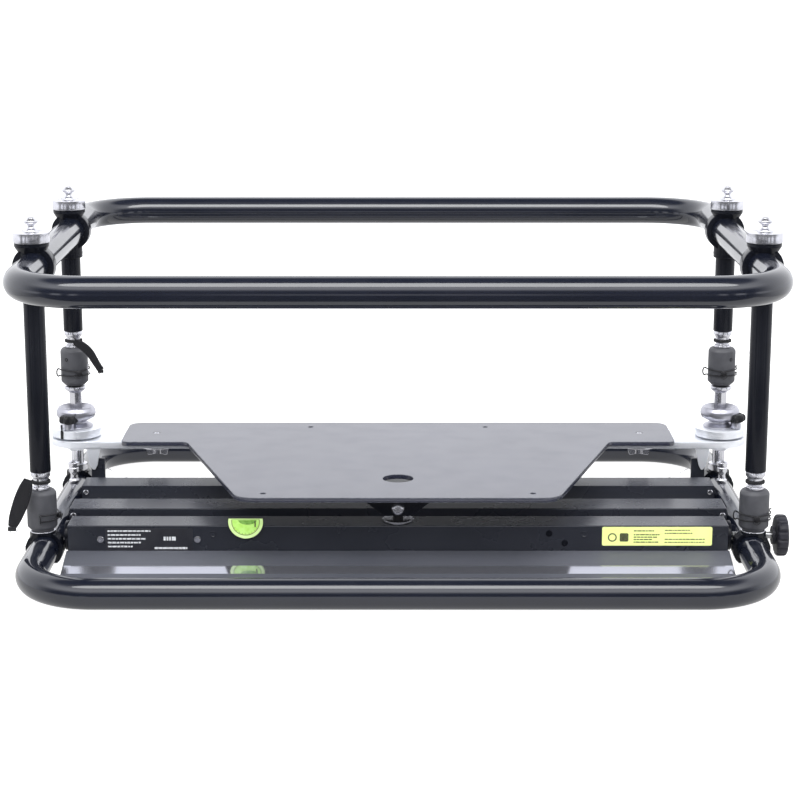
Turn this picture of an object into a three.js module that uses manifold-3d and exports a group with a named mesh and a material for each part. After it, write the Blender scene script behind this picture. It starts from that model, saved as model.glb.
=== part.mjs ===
// A stackable rigging frame for a projector: two rounded tube hoops held apart by four posts with
// quick-lock couplers, and a projector platform that is levelled by two rear spindles and shifted
// sideways by a hand wheel. Millimetres, +Z up, the lower hoop stands on z = 0, X is the width.
import * as THREE from "three";
import { mergeVertices } from "three/addons/utils/BufferGeometryUtils.js";
import Module from "manifold-3d";

const wasm = await Module();
wasm.setup();

// ---- driving dimensions --------------------------------------------------------------------
const GAP = 0.3; // running or touching gap between neighbours
const SIDES = 12; // facets of a small round piece
const TUBE_SIDES = 16; // facets of the hoops' tube, and of the rings round it

const TUBE_R = 24.15; // 48.3 mm scaffold-size tube
const HOOP = { width: 1140, depth: 884, corner: 110, cornerSteps: 5 };
const LOWER_Z = TUBE_R; // centre height of the lower hoop
const UPPER_Z = 484.5; // centre height of the upper hoop
const SIDE_X = HOOP.width / 2; // centreline of the side tubes

const POST = { x: 573, frontY: -204, rearY: 180, r: 16.85, top: UPPER_Z - 28.5 };
const NECK = { height: 30, flareR: 16, waistR: 11.5, plugR: 11, plugDepth: 18 };
const COUPLER = { r: 24, height: 69, boreR: 12, pinHeight: 26, pinHoleR: 4.6 };
const FRONT_COUPLER_Z = 53.5;
const REAR_COUPLER_Z = 208;

const UPPER_COLLAR = { r: 33, width: 28, seatTop: 522, seatR: 27, seatFootR: 22, socketR: 21 };
const LOWER_COLLAR = { r: 30, width: 26, padR: 20, top: 52.7, foot: 2 };
const STUD = { discR: 28.5, discHeight: 15.7, top: 561.5 };
const SPIGOT = { r: 11, height: 46 };

const RAIL = { top: 62, bottom: 14, wall: 4 };
const FRONT_RAIL = { y0: -208, y1: -151, halfLength: 533 };
const MIDDLE_RAIL = { y0: -107, y1: -45, halfLength: 545 };
const REAR_RAIL = { y0: 36, y1: 92, halfLength: 545 };
const EAR = { x: 532, halfWidth: 12, y0: 147, y1: 153, z0: 34, armTop: 46, top: 82 };
const PIVOT_Y = (FRONT_RAIL.y0 + FRONT_RAIL.y1) / 2;
const SCREW_Z = (RAIL.top + RAIL.bottom) / 2; // lead screw axis
const PIVOT_Z = 92; // centre of the front ball joint
const SHIFT = 10; // sideways travel of the platform, each way
const LIFT = 12; // travel of each levelling spindle, each way

const GAUGE = { x: -245, z: 70, r: 29, flatTop: 76, thickness: 4.7 };
const BASE_PLATE = { halfWidth: 535, y0: -415, corner: 84 };
// Its profile as [y, z]: flat under the front rail, a lip against the rail's face, then a slope down
// to a flat front.
const BASE_PROFILE = [[-152, 9.7], [-152, 13.7], [-208.6, 13.7], [-208.6, 20.6], [-212, 20.6],
  [-277, 3.2], [BASE_PLATE.y0, 3.2], [BASE_PLATE.y0, 0.6], [-276.6, 0.6], [-242.6, 9.7]];
const BEAM = { z0: 103, z1: 115, r: 45, slotHalfLength: 26.5, slotHalfWidth: 15.5 };
const PLATE = { z0: 115.3, z1: 123.3, holeY: -142, holeR: 25, boltR: 4.5 };
const CLAMP_SCREW = { x: 429, y: 170, shankR: 5, holeR: 5.6, washerR: 32 };
const HUB = { boreR: 11.6, discR: 44, discZ0: 118.5, discZ1: 133, sleeveR: 14, nutR: 17.5, nutZ: 92 };
const HAND_WHEEL = { z0: 133.4, top: 170, r: 35, rimR: 29 };
const KNOB = { r: 17.5, z0: 146, z1: 160, stemR: 4 };
const SHIFT_WHEEL = { r: 34, x0: 607, x1: 632 };
const LEAD_SCREW = { r: 6, x0: -62, x1: 624 };

// ---- finishes ------------------------------------------------------------------------------
const finish = (color, roughness, metalness) => ({ color, roughness, metalness });
const GLOSS_BLACK = finish(0x1b1e2a, 0.25, 0.4);
const SATIN_BLACK = finish(0x17191f, 0.45, 0.3);
const CHARCOAL = finish(0x35363b, 0.65, 0.1);
const CHROME = finish(0xd2d5d8, 0.18, 1.0);
const ALUMINIUM = finish(0xc3c7cf, 0.35, 1.0);
const CAST_ALUMINIUM = finish(0xb9b9c2, 0.5, 0.9);
const BLACK_PLASTIC = finish(0x121315, 0.55, 0.0);
const LIME = finish(0xd2f57e, 0.3, 0.0);
const WEBBING = finish(0x141416, 0.9, 0.0);

const frame = new THREE.Group();

// Adds one named piece to the frame.
function piece(name, geometry, look, x = 0, y = 0, z = 0) {
  const mesh = new THREE.Mesh(geometry, new THREE.MeshStandardMaterial(look));
  mesh.name = name;
  mesh.position.set(x, y, z);
  frame.add(mesh);
}

// ---- solids --------------------------------------------------------------------------------
function solid(geometry) {
  const bare = geometry.clone();
  bare.deleteAttribute("normal");
  bare.deleteAttribute("uv");
  const merged = mergeVertices(bare, 1e-4);
  return new wasm.Manifold(new wasm.Mesh({
    numProp: 3,
    vertProperties: merged.attributes.position.array,
    triVerts: new Uint32Array(merged.index.array),
  }));
}

function geometryOf(manifold) {
  const mesh = manifold.getMesh();
  const geometry = new THREE.BufferGeometry();
  geometry.setAttribute("position", new THREE.BufferAttribute(mesh.vertProperties, 3));
  geometry.setIndex(new THREE.BufferAttribute(mesh.triVerts, 1));
  return geometry;
}

// Joins the geometries in parts, then takes away the ones in holes.
function shaped(parts, holes = []) {
  let made = parts.map(solid).reduce((a, b) => a.add(b));
  for (const hole of holes) made = made.subtract(solid(hole));
  return geometryOf(made);
}

function box(x0, x1, y0, y1, z0, z1) {
  const made = new THREE.BoxGeometry(x1 - x0, y1 - y0, z1 - z0);
  return made.translate((x0 + x1) / 2, (y0 + y1) / 2, (z0 + z1) / 2);
}

// A round bar along Z whose facets, not its corners, lie at radius r.
function bar(r, z0, z1, sides = SIDES) {
  const corner = r / Math.cos(Math.PI / sides);
  const made = new THREE.CylinderGeometry(corner, corner, z1 - z0, sides, 1, false, Math.PI / sides);
  return made.rotateX(Math.PI / 2).translate(0, 0, (z0 + z1) / 2);
}

const barAlongX = (r, x0, x1, sides = SIDES) => bar(r, x0, x1, sides).rotateY(Math.PI / 2);
const barAlongY = (r, y0, y1, sides = SIDES) => bar(r, y0, y1, sides).rotateX(-Math.PI / 2);

// A turned piece about Z. The profile is [radius, z] pairs, anticlockwise from the bottom.
function turned(profile, sides = SIDES) {
  const points = profile.map(([r, z]) => new THREE.Vector2(r, z));
  return new THREE.LatheGeometry(points, sides).rotateX(Math.PI / 2).rotateZ(Math.PI / sides);
}

// A turned piece about Z with a hole down its middle: the profile closes on itself.
const turnedRing = (profile, sides = SIDES) => turned([...profile, profile[0]], sides);

// A flat outline in X and Y, pushed up from z0 to z1.
function slab(shape, z0, z1, curveSegments = 6) {
  const options = { depth: z1 - z0, bevelEnabled: false, curveSegments };
  return new THREE.ExtrudeGeometry(shape, options).translate(0, 0, z0);
}

// A flat outline in X and Z, pushed along Y from y0 to y1.
function panel(points, y0, y1) {
  const shape = new THREE.Shape(points.map(([x, z]) => new THREE.Vector2(x, z)));
  const made = new THREE.ExtrudeGeometry(shape, { depth: y1 - y0, bevelEnabled: false });
  return made.rotateX(Math.PI / 2).translate(0, y1, 0);
}

// An outline whose corners are [x, y, radius], each rounded by its radius.
function roundedOutline(corners) {
  const shape = new THREE.Shape();
  const count = corners.length;
  corners.forEach(([x, y, radius], i) => {
    const here = new THREE.Vector2(x, y);
    const before = new THREE.Vector2(...corners[(i + count - 1) % count].slice(0, 2));
    const after = new THREE.Vector2(...corners[(i + 1) % count].slice(0, 2));
    const back = before.sub(here).normalize();
    const ahead = after.sub(here).normalize();
    const reach = radius / Math.tan(back.angleTo(ahead) / 2);
    const start = here.clone().addScaledVector(back, reach);
    const end = here.clone().addScaledVector(ahead, reach);
    if (i === 0) shape.moveTo(start.x, start.y);
    else shape.lineTo(start.x, start.y);
    shape.quadraticCurveTo(x, y, end.x, end.y);
  });
  shape.closePath();
  return shape;
}

function slotOutline(halfLength, halfWidth) {
  const flat = halfLength - halfWidth;
  const shape = new THREE.Shape();
  shape.absarc(flat, 0, halfWidth, -Math.PI / 2, Math.PI / 2, false);
  shape.absarc(-flat, 0, halfWidth, Math.PI / 2, 1.5 * Math.PI, false);
  shape.closePath();
  return shape;
}

function roundHole(x, y, r) {
  return new THREE.Path().absarc(x, y, r, 0, 2 * Math.PI, true);
}

// ---- tube hoops ----------------------------------------------------------------------------
// The tube's section, swept round a rectangle with round corners. Its facets face up, down and out.
function hoopTube() {
  const positions = [];
  const index = [];
  const { width, depth, corner, cornerSteps } = HOOP;
  const cornerR = TUBE_R / Math.cos(Math.PI / TUBE_SIDES);
  const stations = 4 * (cornerSteps + 1);
  for (let quarter = 0; quarter < 4; quarter++) {
    const middle = (quarter + 0.5) * Math.PI / 2;
    const cx = Math.sign(Math.cos(middle)) * (width / 2 - corner);
    const cy = Math.sign(Math.sin(middle)) * (depth / 2 - corner);
    for (let step = 0; step <= cornerSteps; step++) {
      const turn = (quarter + step / cornerSteps) * Math.PI / 2;
      for (let side = 0; side < TUBE_SIDES; side++) {
        const angle = (side + 0.5) * 2 * Math.PI / TUBE_SIDES;
        const out = corner + cornerR * Math.cos(angle);
        positions.push(cx + out * Math.cos(turn), cy + out * Math.sin(turn), cornerR * Math.sin(angle));
      }
    }
  }
  for (let i = 0; i < stations; i++) {
    for (let side = 0; side < TUBE_SIDES; side++) {
      const next = (i + 1) % stations;
      const beside = (side + 1) % TUBE_SIDES;
      const a = i * TUBE_SIDES + side;
      const b = next * TUBE_SIDES + side;
      const c = next * TUBE_SIDES + beside;
      const d = i * TUBE_SIDES + beside;
      index.push(a, b, c, a, c, d);
    }
  }
  const tube = new THREE.BufferGeometry();
  tube.setAttribute("position", new THREE.Float32BufferAttribute(positions, 3));
  tube.setIndex(index);
  return tube;
}

function lowerHoop() {
  const screwBore = barAlongX(LEAD_SCREW.r + 1, SIDE_X - 40, SIDE_X + 40, 12);
  return shaped([hoopTube()], [screwBore.translate(0, PIVOT_Y, SCREW_Z - LOWER_Z)]);
}

// ---- collars, posts and couplers -----------------------------------------------------------
const CORNERS = [
  { name: "front_left", side: -1, y: POST.frontY, couplerZ: FRONT_COUPLER_Z, clipTurn: 90 },
  { name: "front_right", side: 1, y: POST.frontY, couplerZ: FRONT_COUPLER_Z, clipTurn: 0 },
  { name: "rear_left", side: -1, y: POST.rearY, couplerZ: REAR_COUPLER_Z, clipTurn: 25 },
  { name: "rear_right", side: 1, y: POST.rearY, couplerZ: REAR_COUPLER_Z, clipTurn: 0 },
];

// A clamp ring round the upper side tube, with a socket for the post and a seat for the stud.
// Its own origin is on the post axis at the height of the tube's centre.
function upperCollar(side) {
  const { r, width, seatTop, seatR, seatFootR, socketR } = UPPER_COLLAR;
  const tubeX = side * (SIDE_X - POST.x);
  const seat = turned([[0, 8], [seatFootR, 8], [seatFootR, 22], [seatR, seatTop - UPPER_Z - 5],
    [seatR, seatTop - UPPER_Z], [0, seatTop - UPPER_Z]]);
  const socket = bar(socketR, -r - 14, -14);
  return shaped(
    [barAlongY(r, -width / 2, width / 2, TUBE_SIDES).translate(tubeX, 0, 0), seat, socket],
    [barAlongY(TUBE_R + GAP, -60, 60, TUBE_SIDES).translate(tubeX, 0, 0),
      bar(POST.r + GAP, -80, POST.top - UPPER_Z + GAP)],
  );
}

// A clamp round the lower side tube, planed flat on top as the coupler's seat and open below,
// so that the tube itself stands on the floor.
function lowerCollar(side) {
  const { r, width, padR, top, foot } = LOWER_COLLAR;
  const tubeX = side * (SIDE_X - POST.x);
  return shaped(
    [barAlongY(r, -width / 2, width / 2, TUBE_SIDES).translate(tubeX, 0, 0), bar(padR, 8, top - LOWER_Z)],
    [barAlongY(TUBE_R + GAP, -60, 60, TUBE_SIDES).translate(tubeX, 0, 0),
      box(-60, 60, -60, 60, top - LOWER_Z, 60), box(-60, 60, -60, 60, -60, foot - LOWER_Z)],
  );
}

// The disc and mushroom stud that the next frame stacks on.
function stackingStud() {
  const { discR, discHeight, top } = STUD;
  const full = top - UPPER_COLLAR.seatTop - GAP;
  return turned([[0, 0], [discR - 1.5, 0], [discR, 1.5], [discR, discHeight - 1.5],
    [discR - 1.5, discHeight], [12, discHeight], [11, discHeight + 4], [5.5, discHeight + 8],
    [5.5, full - 11.5], [11, full - 8], [11, full - 4.5], [6, full], [0, full]]);
}

// The post with its machined lower end: flare, waist and the plug inside the coupler.
function post(couplerZ) {
  const low = couplerZ + COUPLER.height;
  const { height, flareR, waistR, plugR, plugDepth } = NECK;
  return turned([[0, low - plugDepth], [plugR, low - plugDepth], [plugR, low + GAP],
    [flareR - 1, low + GAP], [flareR - 1, low + 5], [waistR + 1.5, low + 9], [waistR + 1.5, low + 18],
    [flareR, low + 22], [flareR, low + height], [POST.r, low + height], [POST.r, POST.top], [0, POST.top]]);
}

// The quick-lock sleeve; the hole for its locking pin faces along the clip's turn.
function coupler(clipTurn) {
  const { r, height, boreR, pinHeight, pinHoleR } = COUPLER;
  const body = turnedRing([[boreR, 0], [r - 3, 0], [r, 5], [r, height - 6], [r - 4, height],
    [boreR, height]]);
  const pinHole = barAlongY(pinHoleR, -r - 5, 0, 10).rotateZ(THREE.MathUtils.degToRad(clipTurn));
  return shaped([body], [pinHole.translate(0, 0, pinHeight)]);
}

// A spring bail with its locking pin and a finger tab. Its own origin is on the post axis at the
// pin's height, and it pulls off along -Y.
function lockClip() {
  const inner = COUPLER.r + 1;
  const outer = inner + 3;
  const armY = 14;
  const halfHeight = 5;
  const bail = new THREE.Shape();
  bail.moveTo(outer, armY).lineTo(inner, armY).lineTo(inner, 0);
  bail.absarc(0, 0, inner, 0, -Math.PI, true);
  bail.lineTo(-inner, armY).lineTo(-outer, armY).lineTo(-outer, 0);
  bail.absarc(0, 0, outer, -Math.PI, 0, false);
  const band = slab(bail, -halfHeight, halfHeight, 7);
  const pin = turned([[0, -4], [4, -4], [4, outer + 1], [5.5, outer + 1], [5.5, outer + 4], [0, outer + 4]], 8);
  const fingerTab = box(-outer - 6, 1 - outer, -5, -1, -8, 8);
  return shaped([band, pin.rotateX(Math.PI / 2), fingerTab]);
}

for (const { name, side, y, couplerZ, clipTurn } of CORNERS) {
  const x = side * POST.x;
  const pinZ = couplerZ + COUPLER.pinHeight;
  piece(`lower_collar_${name}`, lowerCollar(side), SATIN_BLACK, x, y, LOWER_Z);
  piece(`upper_collar_${name}`, upperCollar(side), SATIN_BLACK, x, y, UPPER_Z);
  piece(`stacking_stud_${name}`, stackingStud(), CHROME, x, y, UPPER_COLLAR.seatTop + GAP);
  piece(`post_${name}`, post(couplerZ), SATIN_BLACK, x, y, 0);
  piece(`coupler_${name}`, coupler(clipTurn), CHARCOAL, x, y, couplerZ);
  const clip = lockClip().rotateZ(THREE.MathUtils.degToRad(clipTurn));
  piece(`lock_clip_${name}`, clip, BLACK_PLASTIC, x, y, pinZ);
}

// ---- lower frame ---------------------------------------------------------------------------
piece("lower_hoop", lowerHoop(), GLOSS_BLACK, 0, 0, LOWER_Z);
piece("upper_hoop", hoopTube(), GLOSS_BLACK, 0, 0, UPPER_Z);

// A box-section rail across the frame, open at both ends.
function rail({ y0, y1, halfLength }) {
  const { top, bottom, wall } = RAIL;
  return shaped(
    [box(-halfLength, halfLength, y0, y1, bottom, top)],
    [box(-halfLength - 5, halfLength + 5, y0 + wall, y1 - wall, bottom + wall, top - wall)],
  );
}

// The front rail has a slot in its top that the carriage's stem travels in.
function frontRail() {
  const slot = slab(slotOutline(8 + SHIFT + 3, 9.5), RAIL.top - RAIL.wall - 2, RAIL.top + 2);
  const made = solid(rail(FRONT_RAIL)).subtract(solid(slot.translate(0, PIVOT_Y, 0)));
  return geometryOf(made);
}

// The rear rail carries an upright ear at each end, behind the platform's guide fins.
function rearRail() {
  const { x, halfWidth, y0, y1, z0, armTop, top } = EAR;
  const ears = [-x, x].flatMap((middle) => [
    box(middle - halfWidth, middle + halfWidth, REAR_RAIL.y1 - 2, y1, z0, armTop),
    box(middle - halfWidth, middle + halfWidth, y0, y1, z0, top),
  ]);
  return shaped([rail(REAR_RAIL), ...ears]);
}

piece("front_rail", frontRail(), SATIN_BLACK);
piece("middle_rail", rail(MIDDLE_RAIL), SATIN_BLACK);
piece("rear_rail", rearRail(), SATIN_BLACK);

// The pan between the front tube and the front rail, round at its front corners.
function basePlate() {
  const { halfWidth, y0, corner } = BASE_PLATE;
  const sheet = panel(BASE_PROFILE, -halfWidth, halfWidth).rotateZ(Math.PI / 2);
  const spare = 20;
  const corners = [-1, 1].map((side) => {
    const edge = side * halfWidth;
    const outside = new THREE.Shape();
    outside.moveTo(edge + side * spare, y0 - spare).lineTo(edge + side * spare, y0 + corner);
    outside.lineTo(edge, y0 + corner).quadraticCurveTo(edge, y0, edge - side * corner, y0);
    outside.lineTo(edge - side * corner, y0 - spare);
    return slab(outside, -spare, spare, 8);
  });
  return shaped([sheet], corners);
}
piece("base_plate", basePlate(), GLOSS_BLACK);

// A round flange between each end of the front rail and the side tube.
for (const [name, side] of [["left", -1], ["right", 1]]) {
  const x = side * (FRONT_RAIL.halfLength + GAP + 3);
  const flange = shaped([barAlongX(24, -3, 3)], [barAlongX(LEAD_SCREW.r + 0.6, -5, 5, 12)]);
  piece(`rail_flange_${name}`, flange, SATIN_BLACK, x, PIVOT_Y, SCREW_Z);
}

// A half-round tilt gauge on the front rail's face, standing a little above its top.
function tiltGauge() {
  const { z, r, flatTop, thickness } = GAUGE;
  const flat = Math.asin((flatTop - z) / r);
  const steps = 14;
  const arc = Array.from({ length: steps + 1 }, (_, i) => {
    const angle = Math.PI - flat + i * (Math.PI + 2 * flat) / steps;
    return [r * Math.cos(angle), z + r * Math.sin(angle)];
  });
  const back = FRONT_RAIL.y0 - GAP;
  return panel(arc, back - thickness, back);
}
piece("tilt_gauge", tiltGauge(), LIME, GAUGE.x, 0, 0);

// Quick-lock spigots at the front; at the rear the spindle itself carries the spigot.
const pinHoleAt = (z) => barAlongY(COUPLER.pinHoleR, -20, 20, 10).translate(0, 0, z);

function frontSpigot(clipTurn) {
  const { r, height } = SPIGOT;
  const peg = turned([[0, 0], [r, 0], [r, height - 3], [r - 3, height], [0, height]]);
  const hole = pinHoleAt(0).rotateZ(THREE.MathUtils.degToRad(clipTurn));
  return shaped([peg], [hole.translate(0, 0, FRONT_COUPLER_Z + COUPLER.pinHeight - LOWER_COLLAR.top - GAP)]);
}

function levellingSpindle(clipTurn) {
  const foot = LOWER_COLLAR.top + GAP;
  const seat = REAR_COUPLER_Z - GAP;
  const { r, height } = SPIGOT;
  const body = turned([[0, foot], [17, foot], [17, 66], [r, 66], [r, 197], [12.5, 197], [19, 202],
    [19, seat], [r, seat], [r, seat + height - 3], [r - 3, seat + height], [0, seat + height]]);
  const hole = pinHoleAt(0).rotateZ(THREE.MathUtils.degToRad(clipTurn));
  return shaped([body], [hole.translate(0, 0, REAR_COUPLER_Z + COUPLER.pinHeight)]);
}

// A turned stop stud on each side tube, in front of the spindle.
function stopStud() {
  return turned([[0, 0], [9, 0], [9, 4], [7, 6], [6, 14], [8.8, 19], [8.8, 30], [10, 32], [10, 36],
    [5, 38], [0, 38]], 12);
}

for (const { name, side, y, clipTurn } of CORNERS) {
  const x = side * POST.x;
  if (name.startsWith("front")) {
    piece(`spigot_${name}`, frontSpigot(clipTurn), CHROME, x, y, LOWER_COLLAR.top + GAP);
  } else {
    piece(`spindle_${name}`, levellingSpindle(clipTurn), CHROME, x, y, 0);
    piece(`stop_stud_${name.slice(5)}`, stopStud(), CHROME, side * SIDE_X, 115, 2 * TUBE_R + GAP);
  }
}

// ---- lanyard straps ------------------------------------------------------------------------
// A flat strap through the given [x, z, halfWidth] points.
function strap(points, y0, y1) {
  const left = [];
  const right = [];
  points.forEach(([x, z, halfWidth], i) => {
    const [ax, az] = points[Math.max(i - 1, 0)];
    const [bx, bz] = points[Math.min(i + 1, points.length - 1)];
    const length = Math.hypot(bx - ax, bz - az);
    const nx = (bz - az) / length * halfWidth;
    const nz = -(bx - ax) / length * halfWidth;
    left.push([x - nx, z - nz]);
    right.unshift([x + nx, z + nz]);
  });
  return panel([...left, ...right], y0, y1);
}
const FRONT_STRAP = [[-587, 147, 7], [-592, 132, 11], [-600, 110, 12.5], [-610, 84, 10.5], [-616, 68, 7]];
const REAR_STRAP = [[-566, 293, 6], [-553, 287, 7.5], [-540, 275, 7.5], [-530, 258, 6.5], [-521, 243, 6]];
piece("strap_front_left", strap(FRONT_STRAP, -240, -236), WEBBING);
piece("strap_rear_left", strap(REAR_STRAP, 140, 144), WEBBING);

// ---- front carriage, shift screw and ball joint --------------------------------------------
// The carriage slides inside the front rail and carries the eye of the front ball joint.
function carriage() {
  const inner = RAIL.wall + 0.5;
  const block = box(-45, 45, FRONT_RAIL.y0 + inner, FRONT_RAIL.y1 - inner, RAIL.bottom + inner, RAIL.top - inner);
  const stem = bar(8, RAIL.top - 10, PIVOT_Z - 8, 12).translate(0, PIVOT_Y, 0);
  const eye = barAlongY(14, -6, 6).translate(0, PIVOT_Y, PIVOT_Z);
  const eyeBore = barAlongY(10.3, -10, 10).translate(0, PIVOT_Y, PIVOT_Z);
  const screwBore = barAlongX(LEAD_SCREW.r + 0.4, -60, 60, 12).translate(0, PIVOT_Y, SCREW_Z);
  return shaped([block, stem, eye], [eyeBore, screwBore]);
}
piece("carriage", carriage(), BLACK_PLASTIC);

const pivotDisc = turnedRing([[9, 0], [24, 0], [25, 1], [25, 3], [23, 4], [9, 4]], 16);
piece("pivot_disc", pivotDisc, CHROME, 0, PIVOT_Y, RAIL.top + 0.4);

function pivotBall() {
  const ball = new THREE.SphereGeometry(9.7, 12, 8);
  const cut = [box(-15, 15, -15, -7, -15, 15), box(-15, 15, 7, 15, -15, 15)];
  return shaped([ball], [...cut, barAlongY(5.35, -20, 20, 12)]);
}
piece("pivot_ball", pivotBall(), CHROME, 0, PIVOT_Y, PIVOT_Z);

// The lead screw runs from the hand wheel through the side tube and the carriage.
function leadScrew() {
  const { r, x0, x1 } = LEAD_SCREW;
  return shaped([barAlongX(r, x0, x1, 12), barAlongX(10, 522, 528, 12)]);
}
piece("lead_screw", leadScrew(), ALUMINIUM, 0, PIVOT_Y, SCREW_Z);

function shiftWheel() {
  const { r, x0, x1 } = SHIFT_WHEEL;
  const wide = x1 - x0;
  const body = turned([[0, 0], [15, 0], [15, 5], [r - 3, 5], [r, 8], [r, wide - 4], [r - 4, wide],
    [0, wide]], 20);
  return shaped([body.rotateY(Math.PI / 2).translate(x0, 0, 0)],
    [barAlongX(LEAD_SCREW.r + GAP, x0 - 2, LEAD_SCREW.x1 + GAP, 12)]);
}
piece("shift_wheel", shiftWheel(), BLACK_PLASTIC, 0, PIVOT_Y, SCREW_Z);

// ---- platform ------------------------------------------------------------------------------
// Mirrors the right half of an outline, given anticlockwise from the rear, to the left.
function mirrored(right) {
  return [...right, ...right.map(([x, y, r]) => [-x, y, r]).reverse()];
}

function platformPlate() {
  const outline = roundedOutline(mirrored([[-485, 249, 28], [-485, 103, 14], [-369, 103, 16],
    [-254, -261, 36]]));
  outline.holes.push(roundHole(0, PLATE.holeY, PLATE.holeR));
  for (const side of [-1, 1]) {
    outline.holes.push(roundHole(side * 157, 214, PLATE.boltR));
    outline.holes.push(roundHole(side * 215, -234, PLATE.boltR));
    outline.holes.push(roundHole(side * CLAMP_SCREW.x, CLAMP_SCREW.y, CLAMP_SCREW.holeR));
  }
  return slab(outline, PLATE.z0, PLATE.z1, 5);
}
piece("platform_plate", platformPlate(), SATIN_BLACK);

// The beam under the platform's rear, with a round end and a slot round each spindle.
function rearBeam() {
  const outline = slotOutline(POST.x + BEAM.r, BEAM.r);
  for (const side of [-1, 1]) {
    outline.holes.push(roundHole(side * CLAMP_SCREW.x, CLAMP_SCREW.y - POST.rearY, CLAMP_SCREW.holeR));
  }
  const slots = [-1, 1].map((side) => {
    const slot = slab(slotOutline(BEAM.slotHalfLength, BEAM.slotHalfWidth), BEAM.z0 - 2, BEAM.z1 + 2, 4);
    return slot.translate(side * POST.x, 0, 0);
  });
  return shaped([slab(outline, BEAM.z0, BEAM.z1, 8)], slots);
}
piece("rear_beam", rearBeam(), ALUMINIUM, 0, POST.rearY, 0);

// The bracket under the platform's front that holds the ball joint's bolt.
function pivotBracket() {
  const top = PLATE.z0 - GAP;
  const hanger = panel([[-54, top], [-54, 104], [-22, 79], [22, 79], [54, 104], [54, top]], -212, -148);
  const pocket = box(-17.5, 17.5, PIVOT_Y - 9.5, PIVOT_Y + 9.5, 70, 109);
  const boltHole = barAlongY(5.4, -250, -100, 12).translate(0, 0, PIVOT_Z);
  return shaped([hanger], [pocket, boltHole]);
}
piece("pivot_bracket", pivotBracket(), SATIN_BLACK);

function pivotBolt() {
  const turnedBolt = turned([[0, -221], [10, -221], [11, -220], [11, -212 - GAP], [5, -212 - GAP],
    [5, -148 + GAP], [9, -148 + GAP], [9, -141], [0, -141]], 12).rotateX(-Math.PI / 2);
  return shaped([turnedBolt], [barAlongY(4.5, -230, -214.5, 6)]);
}
piece("pivot_bolt", pivotBolt(), CHROME, 0, 0, PIVOT_Z);

// A clamp screw through plate and beam: its end sits just below the plate's top, with washer and wing nut below.
function clampScrew() {
  const { shankR, washerR } = CLAMP_SCREW;
  const under = BEAM.z0 - GAP;
  const body = turned([[0, 84], [7, 84], [8, 86], [8, under - 3], [washerR - 1, under - 3],
    [washerR, under - 2], [washerR, under], [shankR, under], [shankR, PLATE.z1 - GAP],
    [0, PLATE.z1 - GAP]]);
  const wing = panel([[-20, 96], [-17, 82], [-6, 86], [6, 86], [17, 82], [20, 96], [12, 97.5], [-12, 97.5]], -2, 2);
  return shaped([body, wing]);
}

// A tapered fin under each beam end, which swings in front of the rear rail's ear.
function guideFin(side) {
  const top = BEAM.z0 - GAP;
  const outline = [[526, top], [532, 72], [536, 64], [540, 64], [545, 72], [551, top]];
  const ordered = side > 0 ? outline : outline.map(([x, z]) => [-x, z]).reverse();
  return panel(ordered, 136.5, 142.5);
}

// The levelling nut: a disc over the beam's end, a sleeve through its slot and a nut below.
function levellingHub() {
  const { boreR, discR, discZ0, discZ1, sleeveR, nutR, nutZ } = HUB;
  const nutTop = BEAM.z0 - 1.2;
  return turnedRing([[boreR, nutZ], [nutR, nutZ], [nutR, nutTop], [sleeveR, nutTop], [sleeveR, discZ0],
    [discR, discZ0], [discR, discZ1 - 1], [discR - 1, discZ1], [boreR, discZ1]], 16);
}

// The hand wheel: a dished aluminium bowl with a boss and a pocket for its clamp knob.
function handWheel(knobX, knobY) {
  const { z0, top, r, rimR } = HAND_WHEEL;
  const bowl = turnedRing([[HUB.boreR, z0], [29, z0], [29, z0 + 2], [19, z0 + 8], [19, z0 + 11],
    [r - 4, 150], [r, 156], [r - 1, 163], [rimR, top], [rimR - 3, top], [22, 163], [HUB.boreR, 161]], 16);
  const boss = bar(9, z0, KNOB.z0 - 1, 12).translate(knobX, knobY, 0);
  const pocket = bar(KNOB.r + 1.5, KNOB.z0 - 1, top + 5).translate(knobX, knobY, 0);
  const stemHole = bar(KNOB.stemR + 0.4, z0 - 2, KNOB.z0, 10).translate(knobX, knobY, 0);
  return shaped([bowl, boss], [pocket, stemHole]);
}

// A scalloped clamp knob on a threaded stem.
function clampKnob() {
  const { r, z0, z1, stemR } = KNOB;
  const lobes = 6;
  const steps = 24;
  const outline = Array.from({ length: steps }, (_, i) => {
    const angle = i * 2 * Math.PI / steps;
    const reach = r - 1.5 + 1.5 * Math.cos(lobes * angle);
    return new THREE.Vector2(reach * Math.cos(angle), reach * Math.sin(angle));
  });
  return shaped([slab(new THREE.Shape(outline), z0, z1), bar(stemR, HAND_WHEEL.z0 + 0.4, z0 + 1, 10)]);
}

const SIDES_OF_PLATFORM = [
  { name: "left", side: -1, knobX: -9, knobY: -30 },
  { name: "right", side: 1, knobX: 26, knobY: -18 },
];
for (const { name, side, knobX, knobY } of SIDES_OF_PLATFORM) {
  const x = side * POST.x;
  piece(`clamp_screw_${name}`, clampScrew(), CHROME, side * CLAMP_SCREW.x, CLAMP_SCREW.y, 0);
  piece(`guide_fin_${name}`, guideFin(side), ALUMINIUM);
  piece(`levelling_hub_${name}`, levellingHub(), ALUMINIUM, x, POST.rearY, 0);
  piece(`hand_wheel_${name}`, handWheel(knobX, knobY), CAST_ALUMINIUM, x, POST.rearY, 0);
  piece(`clamp_knob_${name}`, clampKnob(), BLACK_PLASTIC, x + knobX, POST.rearY + knobY, 0);
}

export default frame;
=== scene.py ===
"""Looks for the projector stacking frame. Sizes are in millimetres until a mesh is made."""
import math
import random

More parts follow.
